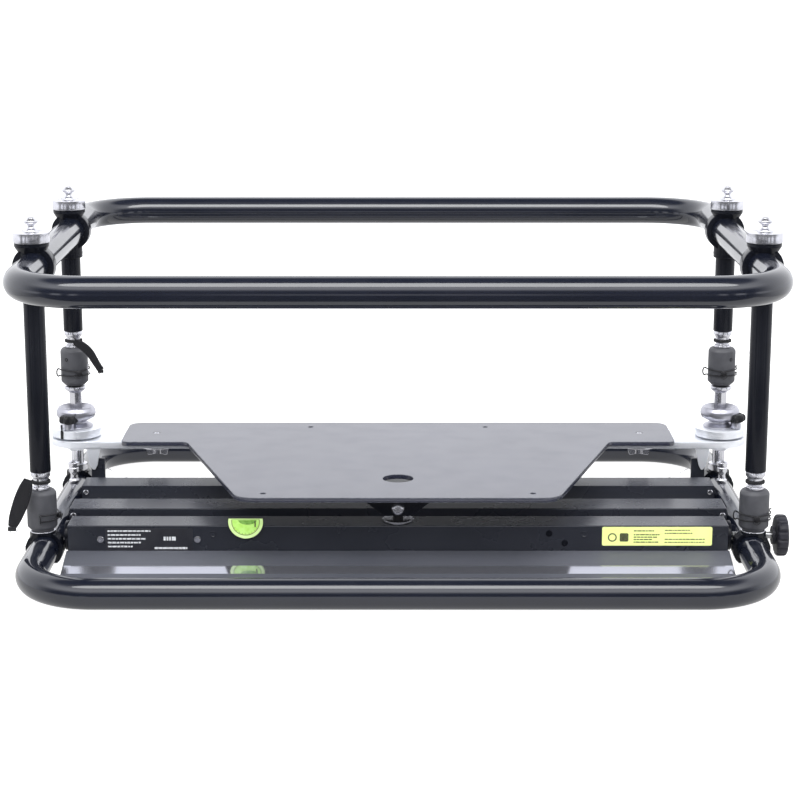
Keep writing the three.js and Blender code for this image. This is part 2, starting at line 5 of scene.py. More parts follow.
import bmesh
import bpy
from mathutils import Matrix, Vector


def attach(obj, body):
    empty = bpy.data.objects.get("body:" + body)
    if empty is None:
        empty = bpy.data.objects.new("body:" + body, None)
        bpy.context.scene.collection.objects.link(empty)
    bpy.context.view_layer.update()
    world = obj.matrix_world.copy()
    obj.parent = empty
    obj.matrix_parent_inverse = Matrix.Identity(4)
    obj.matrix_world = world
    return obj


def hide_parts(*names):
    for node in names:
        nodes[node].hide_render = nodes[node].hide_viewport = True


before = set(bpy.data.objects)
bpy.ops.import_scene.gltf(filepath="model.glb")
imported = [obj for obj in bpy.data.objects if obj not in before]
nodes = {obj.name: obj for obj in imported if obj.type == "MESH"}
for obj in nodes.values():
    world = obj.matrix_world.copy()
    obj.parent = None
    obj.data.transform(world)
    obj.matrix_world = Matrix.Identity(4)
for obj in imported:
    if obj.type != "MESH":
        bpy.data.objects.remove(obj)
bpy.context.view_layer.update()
MM = 0.001
TAU = 2 * math.pi

# ---- sizes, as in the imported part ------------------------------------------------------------
TUBE_R = 24.15
HOOP_X, HOOP_Y, HOOP_CORNER = 570, 442, 110
LOWER_Z, UPPER_Z = 24.15, 484.5
POST_X, FRONT_Y, REAR_Y = 573, -204, 180
POST_R, POST_TOP = 16.85, 456
COUPLER_R, COUPLER_H, PIN_H = 24, 69, 26
CORNERS = {
    "front_left": (-POST_X, FRONT_Y, 53.5, 90),
    "front_right": (POST_X, FRONT_Y, 53.5, 0),
    "rear_left": (-POST_X, REAR_Y, 208, 25),
    "rear_right": (POST_X, REAR_Y, 208, 0),
}
RAIL_FACE = -208
PIVOT_Y, SCREW_Z, PIVOT_Z = -179.5, 38, 92


# ---- materials -------------------------------------------------------------------------------
class Shader:
    """A Principled material whose colour, roughness and bump vary with place."""

    def __init__(self, name, color, roughness, metallic=0.0, ior=1.5, coat=0.0, coat_roughness=0.1):
        self.material = bpy.data.materials.new(name)
        self.material.use_nodes = True
        self.tree = self.material.node_tree
        self.bsdf = self.tree.nodes["Principled BSDF"]
        self.bsdf.inputs["Base Color"].default_value = (*color, 1)
        self.bsdf.inputs["Roughness"].default_value = roughness
        self.bsdf.inputs["Metallic"].default_value = metallic
        self.bsdf.inputs["IOR"].default_value = ior
        self.bsdf.inputs["Coat Weight"].default_value = coat
        self.bsdf.inputs["Coat Roughness"].default_value = coat_roughness
        self.color, self.roughness = color, roughness
        self.place = self.node("ShaderNodeTexCoord").outputs["Object"]

    def node(self, kind, **settings):
        made = self.tree.nodes.new(kind)
        for key, value in settings.items():
            setattr(made, key, value)
        return made

    def link(self, a, b):
        self.tree.links.new(a, b)

    def noise(self, scale, detail=3.0, stretch=(1, 1, 1)):
        mapping = self.node("ShaderNodeMapping")
        mapping.inputs["Scale"].default_value = stretch
        self.link(self.place, mapping.inputs["Vector"])
        noise = self.node("ShaderNodeTexNoise")
        noise.inputs["Scale"].default_value = scale
        noise.inputs["Detail"].default_value = detail
        self.link(mapping.outputs["Vector"], noise.inputs["Vector"])
        return noise.outputs["Fac"]

    def wave(self, scale, direction="Z", distortion=0.0):
        wave = self.node("ShaderNodeTexWave", wave_type="BANDS", bands_direction=direction)
        wave.inputs["Scale"].default_value = scale
        wave.inputs["Distortion"].default_value = distortion
        self.link(self.place, wave.inputs["Vector"])
        return wave.outputs["Fac"]

    def tones(self, factor, other, low=0.35, high=0.65):
        """The colour goes from its own to another as the factor rises from low to high."""
        ramp = self.node("ShaderNodeValToRGB")
        ramp.color_ramp.elements[0].position = low
        ramp.color_ramp.elements[0].color = (*self.color, 1)
        ramp.color_ramp.elements[1].position = high
        ramp.color_ramp.elements[1].color = (*other, 1)
        self.link(factor, ramp.inputs["Fac"])
        self.link(ramp.outputs["Color"], self.bsdf.inputs["Base Color"])
        return self

    def gloss(self, factor, spread):
        """Roughness varies by spread on both sides of its own value."""
        span = self.node("ShaderNodeMapRange")
        span.inputs["From Min"].default_value = 0.3
        span.inputs["From Max"].default_value = 0.7
        span.inputs["To Min"].default_value = max(self.roughness - spread, 0.02)
        span.inputs["To Max"].default_value = self.roughness + spread
        self.link(factor, span.inputs["Value"])
        self.link(span.outputs["Result"], self.bsdf.inputs["Roughness"])
        return self

    def bump(self, factor, strength, depth):
        bump = self.node("ShaderNodeBump")
        bump.inputs["Strength"].default_value = strength
        bump.inputs["Distance"].default_value = depth * MM
        self.link(factor, bump.inputs["Height"])
        earlier = self.bsdf.inputs["Normal"]
        if earlier.is_linked:
            self.link(earlier.links[0].from_socket, bump.inputs["Normal"])
        self.link(bump.outputs["Normal"], earlier)
        return self


def painted(name, color, other, roughness, spread, tone, shine, bump=None, **settings):
    """A material that drifts between two colours and round its roughness, each by a noise."""
    s = Shader(name, color, roughness, **settings)
    s.tones(s.noise(*tone), other).gloss(s.noise(*shine), spread)
    if bump:
        scale, detail, strength, depth = bump
        s.bump(s.noise(scale, detail), strength, depth)
    return s.material


def edge_look():
    s = Shader("worn_black_edge", (0.045, 0.048, 0.058), 0.3, ior=1.6)
    s.tones(s.noise(160, 6), (0.10, 0.105, 0.12), 0.5, 0.72).gloss(s.noise(240), 0.08)
    return s.material


def turned_look(name, color, other, roughness, spread, metallic, tone, shine, lines):
    """Metal with fine turning lines."""
    s = Shader(name, color, roughness, metallic=metallic)
    s.tones(s.noise(*tone), other).gloss(s.noise(*shine), spread)
    scale, strength, depth = lines
    s.bump(s.wave(scale), strength, depth)
    return s.material


def aluminium_look():
    s = Shader("milled_aluminium", (0.80, 0.82, 0.86), 0.36, metallic=0.72)
    along = (0.2, 1, 1)
    s.tones(s.noise(26, 5, along), (0.72, 0.74, 0.79)).gloss(s.noise(60, 4, along), 0.05)
    s.bump(s.noise(900, 3, (0.1, 1, 1)), 0.05, 0.04)
    return s.material


def webbing_look():
    s = Shader("woven_black", (0.0060, 0.0060, 0.0070), 0.85, ior=1.3)
    s.bsdf.inputs["Sheen Weight"].default_value = 0.05
    s.bsdf.inputs["Sheen Roughness"].default_value = 0.5
    s.tones(s.wave(310, "DIAGONAL"), (0.015, 0.015, 0.018), 0.3, 0.8)
    s.bump(s.wave(330, "DIAGONAL"), 0.7, 0.35).bump(s.wave(420, "X"), 0.5, 0.3)
    return s.material


LOOKS = {
    "gloss": painted("gloss_black_coat", (0.0035, 0.0047, 0.0095), (0.0050, 0.0062, 0.0115), 0.13, 0.04,
                     (9,), (30, 5), (420, 2, 0.05, 0.12), ior=1.55, coat=0.4, coat_roughness=0.06),
    "satin": painted("satin_black_coat", (0.0030, 0.0036, 0.0060), (0.0045, 0.0051, 0.0080), 0.22, 0.05,
                     (12,), (45, 5), (1500, 2, 0.10, 0.05), ior=1.3),
    "rail": painted("rail_black_coat", (0.0130, 0.0145, 0.0200), (0.0165, 0.0180, 0.0245), 0.27, 0.03,
                    (7,), (12, 4), (1300, 2, 0.05, 0.05)),
    "edge": edge_look(),
    "plate": painted("plate_coat", (0.0180, 0.0197, 0.0335), (0.0220, 0.0237, 0.0390), 0.21, 0.035,
                     (5,), (18, 6), (1600, 2, 0.06, 0.05), ior=1.85),
    "pan": painted("pan_polished", (0.43, 0.44, 0.50), (0.47, 0.48, 0.54), 0.09, 0.02,
                   (6,), (14, 5), (900, 2, 0.02, 0.05), metallic=0.9),
    "pan_band": painted("pan_band", (0.0480, 0.0510, 0.0630), (0.060, 0.063, 0.076), 0.55, 0.04, (5,), (30,)),
    "charcoal": painted("charcoal_moulding", (0.036, 0.037, 0.043), (0.048, 0.049, 0.056), 0.52, 0.07,
                        (60, 4), (110, 4), (1100, 3, 0.35, 0.12)),
    "steel": turned_look("bright_steel", (0.72, 0.72, 0.76), (0.64, 0.64, 0.68), 0.20, 0.04, 0.97,
                         (25, 3), (40, 3), (900, 0.02, 0.03)),
    "dull": turned_look("dull_steel", (0.50, 0.50, 0.50), (0.36, 0.365, 0.37), 0.34, 0.09, 1.0,
                        (120, 5), (300, 5), (700, 0.12, 0.06)),
    "aluminium": aluminium_look(),
    "cast": painted("cast_aluminium", (0.50, 0.50, 0.55), (0.41, 0.41, 0.46), 0.32, 0.06,
                    (40, 4), (90, 4), (220, 4, 0.10, 0.15), metallic=0.97),
    "plastic": painted("moulded_black", (0.0080, 0.0080, 0.0095), (0.013, 0.013, 0.015), 0.42, 0.07,
                       (40,), (120,), (1400, 2, 0.25, 0.08), ior=1.35),
    "grip": painted("grip_black", (0.0105, 0.0105, 0.0150), (0.017, 0.017, 0.023), 0.46, 0.08,
                    (50,), (90,), (700, 3, 0.3, 0.15), ior=1.35),
    "webbing": webbing_look(),
    "lime": painted("lime_dial", (0.50, 0.86, 0.16), (0.56, 0.90, 0.24), 0.28, 0.05, (90, 4), (220,),
                    coat=0.6, coat_roughness=0.08),
    "lime_rim": painted("lime_rim", (0.72, 0.93, 0.42), (0.64, 0.88, 0.34), 0.30, 0.05, (110, 4), (200,),
                        coat=0.6, coat_roughness=0.08),
    "fluid": painted("green_fluid", (0.13, 0.33, 0.05), (0.25, 0.50, 0.10), 0.15, 0.04, (180, 3), (150,),
                     coat=1.0, coat_roughness=0.03),
    "label": painted("label_yellow", (0.80, 0.90, 0.33), (0.76, 0.86, 0.29), 0.42, 0.06, (35, 4), (90,),
                     (500, 2, 0.05, 0.05)),
    "label_black": painted("label_black", (0.0140, 0.0145, 0.0190), (0.019, 0.0195, 0.024), 0.35, 0.05,
                           (40,), (90,)),
    "white_mark": painted("mark_white", (0.62, 0.64, 0.66), (0.42, 0.43, 0.45), 0.5, 0.05, (500, 3), (300,)),
    "dark_mark": painted("mark_dark", (0.030, 0.032, 0.018), (0.10, 0.11, 0.05), 0.5, 0.05, (500, 3), (300,)),
    "olive_mark": painted("olive_mark", (0.16, 0.24, 0.05), (0.11, 0.17, 0.04), 0.4, 0.05, (500, 3), (300,)),
}


# ---- mesh tools ------------------------------------------------------------------------------
class Build:
    """Collects shells in millimetres and turns them into one object in metres."""

    def __init__(self):
        self.points, self.faces, self.slots = [], [], []

    def add(self, points, faces, slot=0):
        base = len(self.points)
        self.points += points
        self.faces += [[base + i for i in face] for face in faces]
        self.slots += [slot] * len(faces)
        return self

    def lathe(self, profile, centre, axis="Z", segments=48, slot=0, closed=False):
        """Turns (radius, height) pairs about an axis. A radius may be a function of the angle."""
        spin = {"Z": lambda a, b, h: (a, b, h), "X": lambda a, b, h: (h, a, b),
                "Y": lambda a, b, h: (b, h, a)}[axis]
        points, faces = [], []
        for radius, height in profile:
            for i in range(segments):
                angle = TAU * i / segments
                r = radius(angle) if callable(radius) else radius
                points.append(Vector(spin(r * math.cos(angle), r * math.sin(angle), height)) + Vector(centre))
        rows = len(profile)
        for row in range(rows if closed else rows - 1):
            a, b = row * segments, (row + 1) % rows * segments
            for i in range(segments):
                j = (i + 1) % segments
                faces.append([a + i, a + j, b + j, b + i])
        if not closed:
            faces.append(list(range(segments))[::-1])
            faces.append([(rows - 1) * segments + i for i in range(segments)])
        return self.add(points, faces, slot)

    def box(self, low, high, slot=0):
        (x0, y0, z0), (x1, y1, z1) = low, high
        points = [(x, y, z) for z in (z0, z1) for y in (y0, y1) for x in (x0, x1)]
        faces = [[0, 2, 3, 1], [4, 5, 7, 6], [0, 1, 5, 4], [2, 6, 7, 3], [0, 4, 6, 2], [1, 3, 7, 5]]
        return self.add([Vector(p) for p in points], faces, slot)

    def wire(self, path, radius, closed=False, sides=10, slot=0):
        """A round wire along the points, with one frame carried along it."""
        path = [Vector(p) for p in path]
        count = len(path)
        points, faces = [], []
        side = None
        for i, here in enumerate(path):
            ahead = path[(i + 1) % count] if closed or i + 1 < count else here
            back = path[i - 1] if closed or i > 0 else here
            along = (ahead - back).normalized()
            if side is None:
                side = along.orthogonal().normalized()
            side = (side - along * side.dot(along)).normalized()
            up = along.cross(side)
            for k in range(sides):
                angle = TAU * k / sides
                points.append(here + radius * (math.cos(angle) * side + math.sin(angle) * up))
        twist = 0
        if closed:  # the frame may come back turned, so the last ring joins the nearest point
            first, last = points[0], [points[(count - 1) * sides + k] for k in range(sides)]
            twist = min(range(sides), key=lambda k: (last[k] - first).length)
        for i in range(count if closed else count - 1):
            a, b = i * sides, (i + 1) % count * sides
            shift = -twist if closed and i == count - 1 else 0
            for k in range(sides):
                m = (k + 1) % sides
                faces.append([a + k, a + m, b + (m + shift) % sides, b + (k + shift) % sides])
        if not closed:
            faces.append(list(range(sides))[::-1])
            faces.append([(count - 1) * sides + k for k in range(sides)])
        return self.add(points, faces, slot)

    def finish(self, name, looks, body, slot, replaced=(), sharp=32):
        mesh = bpy.data.meshes.new(name)
        mesh.from_pydata([tuple(Vector(p) * MM) for p in self.points], [], self.faces)
        bm = bmesh.new()
        bm.from_mesh(mesh)
        for face, index in zip(bm.faces, self.slots):
            face.material_index = index
        bmesh.ops.remove_doubles(bm, verts=bm.verts, dist=1e-7)
        bmesh.ops.recalc_face_normals(bm, faces=bm.faces)
        bm.to_mesh(mesh)
        bm.free()
        return dress(name, mesh, looks, body, replaced, sharp)


def dress(name, mesh, looks, body, replaced=(), sharp=32):
    mesh.materials.clear()
    for look in [looks] if isinstance(looks, str) else looks:
        mesh.materials.append(LOOKS[look])
    mesh.shade_smooth()
    mesh.set_sharp_from_angle(angle=math.radians(sharp))
    made = bpy.data.objects.new(name, mesh)
    bpy.context.scene.collection.objects.link(made)
    if replaced:
        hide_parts(*([replaced] if isinstance(replaced, str) else replaced))
    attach(made, body)
    return made


def eased(profile, radius, steps=3):
    """Rounds the inner corners of a (radius, height) profile."""
    result = [profile[0]]
    for before, here, after in zip(profile, profile[1:], profile[2:]):
        p, a, b = Vector(here), Vector(before), Vector(after)
        reach = min(radius, 0.45 * (a - p).length, 0.45 * (b - p).length)
        start, end = p + (a - p).normalized() * reach, p + (b - p).normalized() * reach
        for i in range(steps + 1):
            t = i / steps
            point = start * (1 - t) ** 2 + p * 2 * t * (1 - t) + end * t ** 2
            result.append((point.x, point.y))
    result.append(profile[-1])
    return result


def smoothed(points, steps=8, closed=False):
    """A Catmull-Rom curve through the points."""
    points = [Vector(p) for p in points]
    count = len(points)
    result = []
    for i in range(count if closed else count - 1):
        if closed:
            a, b, c, d = (points[(i + k) % count] for k in (-1, 0, 1, 2))
        else:
            a, b = points[max(i - 1, 0)], points[i]
            c, d = points[i + 1], points[min(i + 2, count - 1)]
        for s in range(steps):
            t = s / steps
            result.append(0.5 * (2 * b + (c - a) * t + (2 * a - 5 * b + 4 * c - d) * t ** 2
                                 + (3 * b - a - 3 * c + d) * t ** 3))
    if not closed:
        result.append(points[-1])
    return result


def rounded(corners, steps=10):
    """An outline of (x, y, radius) corners, each rounded like the part's own."""
    points = []
    count = len(corners)
    for i, (x, y, radius) in enumerate(corners):
        here = Vector((x, y))
        back = (Vector(corners[i - 1][:2]) - here).normalized()
        ahead = (Vector(corners[(i + 1) % count][:2]) - here).normalized()
        reach = radius / math.tan(back.angle(ahead) / 2)
        start, end = here + back * reach, here + ahead * reach
        for s in range(steps + 1):
            t = s / steps
            points.append(tuple(start * (1 - t) ** 2 + here * 2 * t * (1 - t) + end * t ** 2))
    return points


def circle(x, y, r, steps=48):
    return [(x + r * math.cos(TAU * i / steps), y + r * math.sin(TAU * i / steps)) for i in range(steps)]


def slot_outline(x, y, half_length, half_width, steps=24):
    flat = half_length - half_width
    right = []
    for i in range(steps + 1):
        angle = math.pi * i / steps
        right.append((x + flat + half_width * math.sin(angle), y - half_width * math.cos(angle)))
    left = [(2 * x - px, 2 * y - py) for px, py in right]
    return right + left


def sheet_mesh(name, outlines, low, high, bevel, upright=False):
    """A flat plate from closed outlines, the first outside and the rest holes, with eased edges.
    Upright plates take (x, z) outlines and lie between two Y values."""
    curve = bpy.data.curves.new(name, "CURVE")
    curve.dimensions = "2D"
    curve.fill_mode = "BOTH"
    for outline in outlines:
        spline = curve.splines.new("POLY")
        spline.points.add(len(outline) - 1)
        for point, (x, y) in zip(spline.points, outline):
            point.co = (x * MM, y * MM, 0, 1)
        spline.use_cyclic_u = True
    curve.extrude = ((high - low) / 2 - bevel) * MM
    curve.bevel_depth = bevel * MM
    curve.bevel_resolution = 2
    curve.offset = -bevel * MM
    holder = bpy.data.objects.new(name + "_outline", curve)
    bpy.context.scene.collection.objects.link(holder)
    bpy.context.view_layer.update()
    mesh = bpy.data.meshes.new_from_object(holder.evaluated_get(bpy.context.evaluated_depsgraph_get()))
    bpy.data.objects.remove(holder)
    bpy.data.curves.remove(curve)
    bm = bmesh.new()
    bm.from_mesh(mesh)
    bmesh.ops.remove_doubles(bm, verts=bm.verts, dist=1e-6)
    middle = (low + high) / 2 * MM
    for vert in bm.verts:
        x, y, z = vert.co
        vert.co = (x, middle - z, y) if upright else (x, y, middle + z)
    bmesh.ops.recalc_face_normals(bm, faces=bm.faces)
    bm.to_mesh(mesh)
    bm.free()
    mesh.name = name
    return mesh


def plate(name, outlines, low, high, bevel, looks, body, slot, replaced=(), upright=False):
    """A plate whose eased edges take the second look, if there is one."""
    mesh = sheet_mesh(name, outlines, low, high, bevel, upright)
    made = dress(name, mesh, looks, body, replaced)
    for polygon in mesh.polygons:
        flat = abs(polygon.normal.y if upright else polygon.normal.z)
        polygon.use_smooth = flat < 0.999
        if not isinstance(looks, str):
            polygon.material_index = 1 if 0.2 < flat < 0.97 else 0
    return made


def softened(name, node, bevel, looks, body):
    """A copy of a CAD node with its hard edges eased. The easing takes the second look."""
    mesh = nodes[node].data.copy()
    mesh.name = name
    bm = bmesh.new()
    bm.from_mesh(mesh)
    bmesh.ops.remove_doubles(bm, verts=bm.verts, dist=1e-6)
    bmesh.ops.dissolve_limit(bm, angle_limit=math.radians(1), verts=bm.verts, edges=bm.edges)
    for face in bm.faces:
        face.material_index = 0
    hard = [e for e in bm.edges if len(e.link_faces) == 2 and e.calc_face_angle() > math.radians(35)]
    bmesh.ops.bevel(bm, geom=hard, offset=bevel * MM, segments=2, profile=0.5, affect="EDGES",
                    clamp_overlap=True, material=1 if not isinstance(looks, str) else 0)
    bm.to_mesh(mesh)
    bm.free()
    made = dress(name, mesh, looks, body, node)
    if not isinstance(looks, str):
        for polygon in mesh.polygons:
            polygon.use_smooth = polygon.material_index == 1
    return made


def hexagon(r):
    """A radius function: a hexagon with r from its middle to each flat."""
    return lambda angle: r / math.cos((angle % (TAU / 6)) - TAU / 12)


def cap_screw(build, centre, direction, head_r, head_h, socket_r, dark=1):
    """A round head with a hexagon socket, standing on its centre along +-X, +-Y or +-Z."""
    axis = direction[-1]
    sign = -1 if direction[0] == "-" else 1
    rows = [(head_r, 0), (head_r, head_h * 0.6), (head_r - 0.25 * head_h, head_h * 0.93),
            (head_r - 0.45 * head_h, head_h), (hexagon(socket_r), head_h), (hexagon(socket_r), head_h * 0.35)]
    build.lathe([(r, sign * h) for r, h in rows], centre, axis, 24)
    # The socket floor takes the build's second look. On the bright steel screws that look is black: painted
    # shade at the bottom of the socket.
    floor_r = hexagon(socket_r * 0.98)
    socket_floor = [(floor_r, sign * head_h * 0.30), (floor_r, sign * head_h * 0.42)]
    build.lathe(socket_floor, centre, axis, 24, slot=dark)


# ---- tube hoops ------------------------------------------------------------------------------
def hoop(name, z, sides=48, steps=24, straight=10):
    """A tube bent round four corners, with rings along its straights too."""
    def centre(corner, turn):
        """The tube's centre at this turn of the corner that lies in this direction."""
        cx = math.copysign(HOOP_X - HOOP_CORNER, math.cos(corner))
        cy = math.copysign(HOOP_Y - HOOP_CORNER, math.sin(corner))
        return Vector((cx + HOOP_CORNER * math.cos(turn), cy + HOOP_CORNER * math.sin(turn), z))

    path = []
    for quarter in range(4):
        corner, following = (quarter + 0.5) * TAU / 4, (quarter + 1.5) * TAU / 4
        for step in range(steps + 1):
            turn = (quarter + step / steps) * TAU / 4
            path.append((centre(corner, turn), turn))
        last, turn = path[-1]
        goal = centre(following, turn)
        path += [(last.lerp(goal, i / straight), turn) for i in range(1, straight)]
    points, faces = [], []
    for here, turn in path:
        for k in range(sides):
            angle = TAU * k / sides
            out = TUBE_R * math.cos(angle)
            ring_point = Vector((out * math.cos(turn), out * math.sin(turn), TUBE_R * math.sin(angle)))
            points.append(here + ring_point)
    count = len(path)
    for i in range(count):
        a, b = i * sides, (i + 1) % count * sides
        for k in range(sides):
            m = (k + 1) % sides
            faces.append([a + k, b + k, b + m, a + m])
    Build().add(points, faces).finish(name + "_tube", "gloss", "frame", "hoop_black", name)


hoop("lower_hoop", LOWER_Z)
hoop("upper_hoop", UPPER_Z)


# ---- corners: collars, studs, posts, couplers and clips --------------------------------------
def upper_collar(name, x, y):
    side = 1 if x > 0 else -1
    build = Build()
    ring = eased([(24.4, -14), (33, -14), (33, 14), (24.4, 14)], 1.6)
    build.lathe(ring, (side * HOOP_X, y, UPPER_Z), "Y", 64, closed=True)
    build.lathe(eased([(0.01, 494), (21, 494), (21.5, 507), (27.5, 516.5), (27.5, 522), (0.01, 522)], 1.2),
                (x, y, 0))
    build.lathe(eased([(0.01, 437.5), (21, 437.5), (21, 470), (0.01, 470)], 1.5), (x, y, 0))
    build.lathe([(21.35, 444), (21.35, 446.5)], (x, y, 0), slot=1)
    build.finish(f"{name}_ring", ["satin", "edge"], "frame", "satin_black", name)


def stacking_stud(name, x, y):
    z = 522.3
    disc = [(0.01, 0), (28.5, 0), (28.5, 15.7), (12.6, 15.7), (12.6, 17.4), (11.2, 19.8), (6.3, 22.4),
            (5.6, 25), (5.8, 27.4), (9.6, 29.6), (11.1, 31.6), (11.1, 33.6), (8.3, 36.4), (6.2, 37.4),
            (6.2, 39.2), (0.01, 39.2)]
    build = Build().lathe([(r, z + h) for r, h in eased(disc, 1.1)], (x, y, 0), segments=64)
    build.lathe([(28.62, z + 3.2), (28.62, z + 3.7)], (x, y, 0), segments=64, slot=1)
    build.finish(f"{name}_turned", ["steel", "dull"], "frame", "bright_steel", name)


def post(name, x, y, coupler_z):
    low = coupler_z + COUPLER_H
    tube = eased([(0.01, low + 30), (POST_R, low + 30), (POST_R, POST_TOP), (0.01, POST_TOP)], 0.8)
    Build().lathe(tube, (x, y, 0), segments=56).finish(f"{name}_tube", "satin", "frame", "satin_black", name)
    neck = [(0.01, low - 17), (10.9, low - 17), (10.9, low + 0.4), (14.6, low + 0.4), (14.6, low + 4.6),
            (11.6, low + 5.6), (11.2, low + 7.4), (12.4, low + 8.4), (12.8, low + 19),
            (15.9, low + 23.5), (15.9, low + 29.7), (0.01, low + 29.7)]
    Build().lathe(eased(neck, 0.8), (x, y, 0), segments=56).finish(
        f"{name}_neck", "steel", "frame", "bright_steel")


def coupler(name, x, y, z, front):
    body = [(12.2, 1.2), (16.6, 1.2), (24, 8.4), (24, 63.2), (20.8, 68.0), (16.4, 68.7), (12.2, 68.7)]
    build = Build().lathe([(r, z + h) for r, h in eased(body, 1.6)], (x, y, 0), segments=64, closed=True)
    rim = [(12.1, 66), (16.2, 66), (16.2, 69), (12.1, 69)]
    build.lathe([(r, z + h) for r, h in rim], (x, y, 0), slot=1, closed=True)
    build.finish(f"{name}_sleeve", ["charcoal", "dull"], "frame", "charcoal", name)
    if front:
        foot = eased([(11.3, 53.0), (20.5, 53.0), (20.5, 54.6), (17, 55.6), (11.3, 55.6)], 0.5)
        Build().lathe(foot, (x, y, 0), closed=True).finish(f"{name}_foot", "steel", "frame", "bright_steel")
        return
    turn = math.radians(-26 if x < 0 else 34)
    spot = Vector((x, y, z + 50)) + (COUPLER_R - 0.9) * Vector((math.sin(turn), -math.cos(turn), 0))
    screw = Build()
    head = [(0.01, -4), (3.4, -4), (3.4, 1.0), (2.9, 1.3), (hexagon(1.5), 1.3), (hexagon(1.5), 0.2)]
    screw.lathe(head, (0, 0, 0), "Y", 24)
    screw.lathe([(0.01, 0.1), (1.45, 0.1), (1.45, 0.4), (0.01, 0.4)], (0, 0, 0), "Y", 12, slot=1)
    screw.points = [spot + Vector((math.cos(turn) * p.x + math.sin(turn) * p.y,
                                   math.sin(turn) * p.x - math.cos(turn) * p.y, p.z)) for p in screw.points]
    screw.finish(f"{name}_screw", ["plastic", "dull"], "frame", "charcoal")


def lock_clip(name, x, y, z, turn_degrees):
    """A sprung wire bail round the coupler with a finger loop, a pin and its split ring."""
    wrap = COUPLER_R + 2.4
    loop_x = wrap + 6.5
    half = 5.2
    arc = [math.radians(a) for a in range(20, -171, -10)]
    top = [(wrap * math.cos(a), wrap * math.sin(a), half * (0.72 + 0.28 * abs(math.cos(a)))) for a in arc]
    hook = [(wrap + 3.4, 15, half + 0.6), (wrap + 0.6, 12.4, half + 0.3)]
    loop = [(-wrap - 1.5, -1.5, half + 0.6), (-loop_x + 2.5, -2.2, half + 1.6), (-loop_x, -2.6, half - 2),
            (-loop_x, -2.6, 2 - half), (-loop_x + 2.5, -2.2, -half - 1.6), (-wrap - 1.5, -1.5, -half - 0.6)]
    bottom = [(px, py, -pz) for px, py, pz in reversed(top)]
    path = hook + top + loop + bottom + [(px, py, -pz) for px, py, pz in reversed(hook)]
    build = Build().wire(smoothed(path, 3), 1.25, sides=8)
    pin = [(0.01, 6), (3.9, 6), (3.9, wrap - 2), (3.9, wrap + 0.6), (5.4, wrap + 1.1), (5.4, wrap + 3.6),
           (3.0, wrap + 4.6), (0.01, wrap + 4.6)]
    build.lathe([(r, -h) for r, h in eased(pin, 0.5)], (0, 0, 0), "Y", 28, slot=1)
    ring_r, ring_steps = 5.4, 24
    ring = []
    for i in range(ring_steps):
        a = TAU * i / ring_steps
        ring.append((ring_r * math.cos(a), -wrap - 5.0 - 1.6 * math.sin(a), ring_r * math.sin(a) - 3.2))
    build.wire(ring, 0.55, closed=True, sides=8, slot=1)
    turn = math.radians(turn_degrees)
    build.points = [Vector((math.cos(turn) * p[0] - math.sin(turn) * p[1] + x,
                            math.sin(turn) * p[0] + math.cos(turn) * p[1] + y,
                            p[2] + z + PIN_H)) for p in build.points]
    body = "clip_" + name.removeprefix("lock_clip_")
    build.finish(f"{name}_bail", ["plastic", "steel"], body, "black_plastic", name, sharp=40)


for corner, (cx, cy, cz, clip_turn) in CORNERS.items():
    is_front = corner.startswith("front")
    upper_collar(f"upper_collar_{corner}", cx, cy)
    softened(f"lower_collar_{corner}_ring", f"lower_collar_{corner}", 1.0, ["satin", "edge"], "frame")
    stacking_stud(f"stacking_stud_{corner}", cx, cy)
    post(f"post_{corner}", cx, cy, cz)
    coupler(f"coupler_{corner}", cx, cy, cz, is_front)
    lock_clip(f"lock_clip_{corner}", cx, cy, cz, clip_turn)


def spindle(name, x):
    rows = [(0.01, 53.1), (17, 53.1), (17, 66), (11, 66), (11, 196.5), (12.6, 197), (18.6, 201.6),
            (18.6, 207.6), (0.01, 207.6)]
    build = Build().lathe(eased(rows, 0.9), (x, REAR_Y, 0), segments=56)
    build.finish(f"{name}_turned", "steel", "frame", "bright_steel", name)


def stop_stud(name, side):
    foot_z, stud_y = 48.6, 115
    rows = [(0.01, 0), (9, 0), (9, 3.5), (6.6, 6), (5.9, 13), (8.6, 18.5), (8.6, 25), (7.4, 26.2),
            (8.8, 27.6), (10, 30.5), (10, 35), (5.2, 37), (4.2, 38), (0.01, 38)]
    turned = [(r, h + foot_z) for r, h in eased(rows, 0.8)]
    build = Build().lathe(turned, (side * HOOP_X, stud_y, 0), segments=40)
    build.finish(f"{name}_turned", "steel", "frame", "bright_steel", name)


for side_name, side in (("left", -1), ("right", 1)):
    spindle(f"spindle_rear_{side_name}", side * POST_X)
    stop_stud(f"stop_stud_{side_name}", side)


# ---- rails, pan and flanges ------------------------------------------------------------------
for rail in ("front_rail", "middle_rail", "rear_rail"):
    softened(f"{rail}_coated", rail, 1.3, ["rail", "edge"], "frame")


def base_pan():
    """The bent pan: its slope is polished, the rest is satin."""
    polished_y0, polished_y1 = -0.2775, -0.254
    mesh = softened("base_pan", "base_plate", 0.7, ["pan", "edge", "pan_band"], "frame").data
    bm = bmesh.new()
    bm.from_mesh(mesh)
    everything = bm.verts[:] + bm.edges[:] + bm.faces[:]
    bmesh.ops.bisect_plane(bm, geom=everything, plane_co=(0, polished_y1, 0), plane_no=(0, 1, 0))
    for face in bm.faces:
        polished = polished_y0 < face.calc_center_median().y < polished_y1
        if face.material_index == 0 and not polished:
            face.material_index = 2
    bm.to_mesh(mesh)
    bm.free()


base_pan()

for side_name, side in (("left", -1), ("right", 1)):
    flange = eased([(6.8, -3), (24, -3), (24, 3), (6.8, 3)], 1.0)
    build = Build().lathe(flange, (side * 536.3, PIVOT_Y, SCREW_Z), "X", 56, closed=True)
    build.finish(f"rail_flange_{side_name}_turned", "satin", "frame", "satin_black", f"rail_flange_{side_name}")


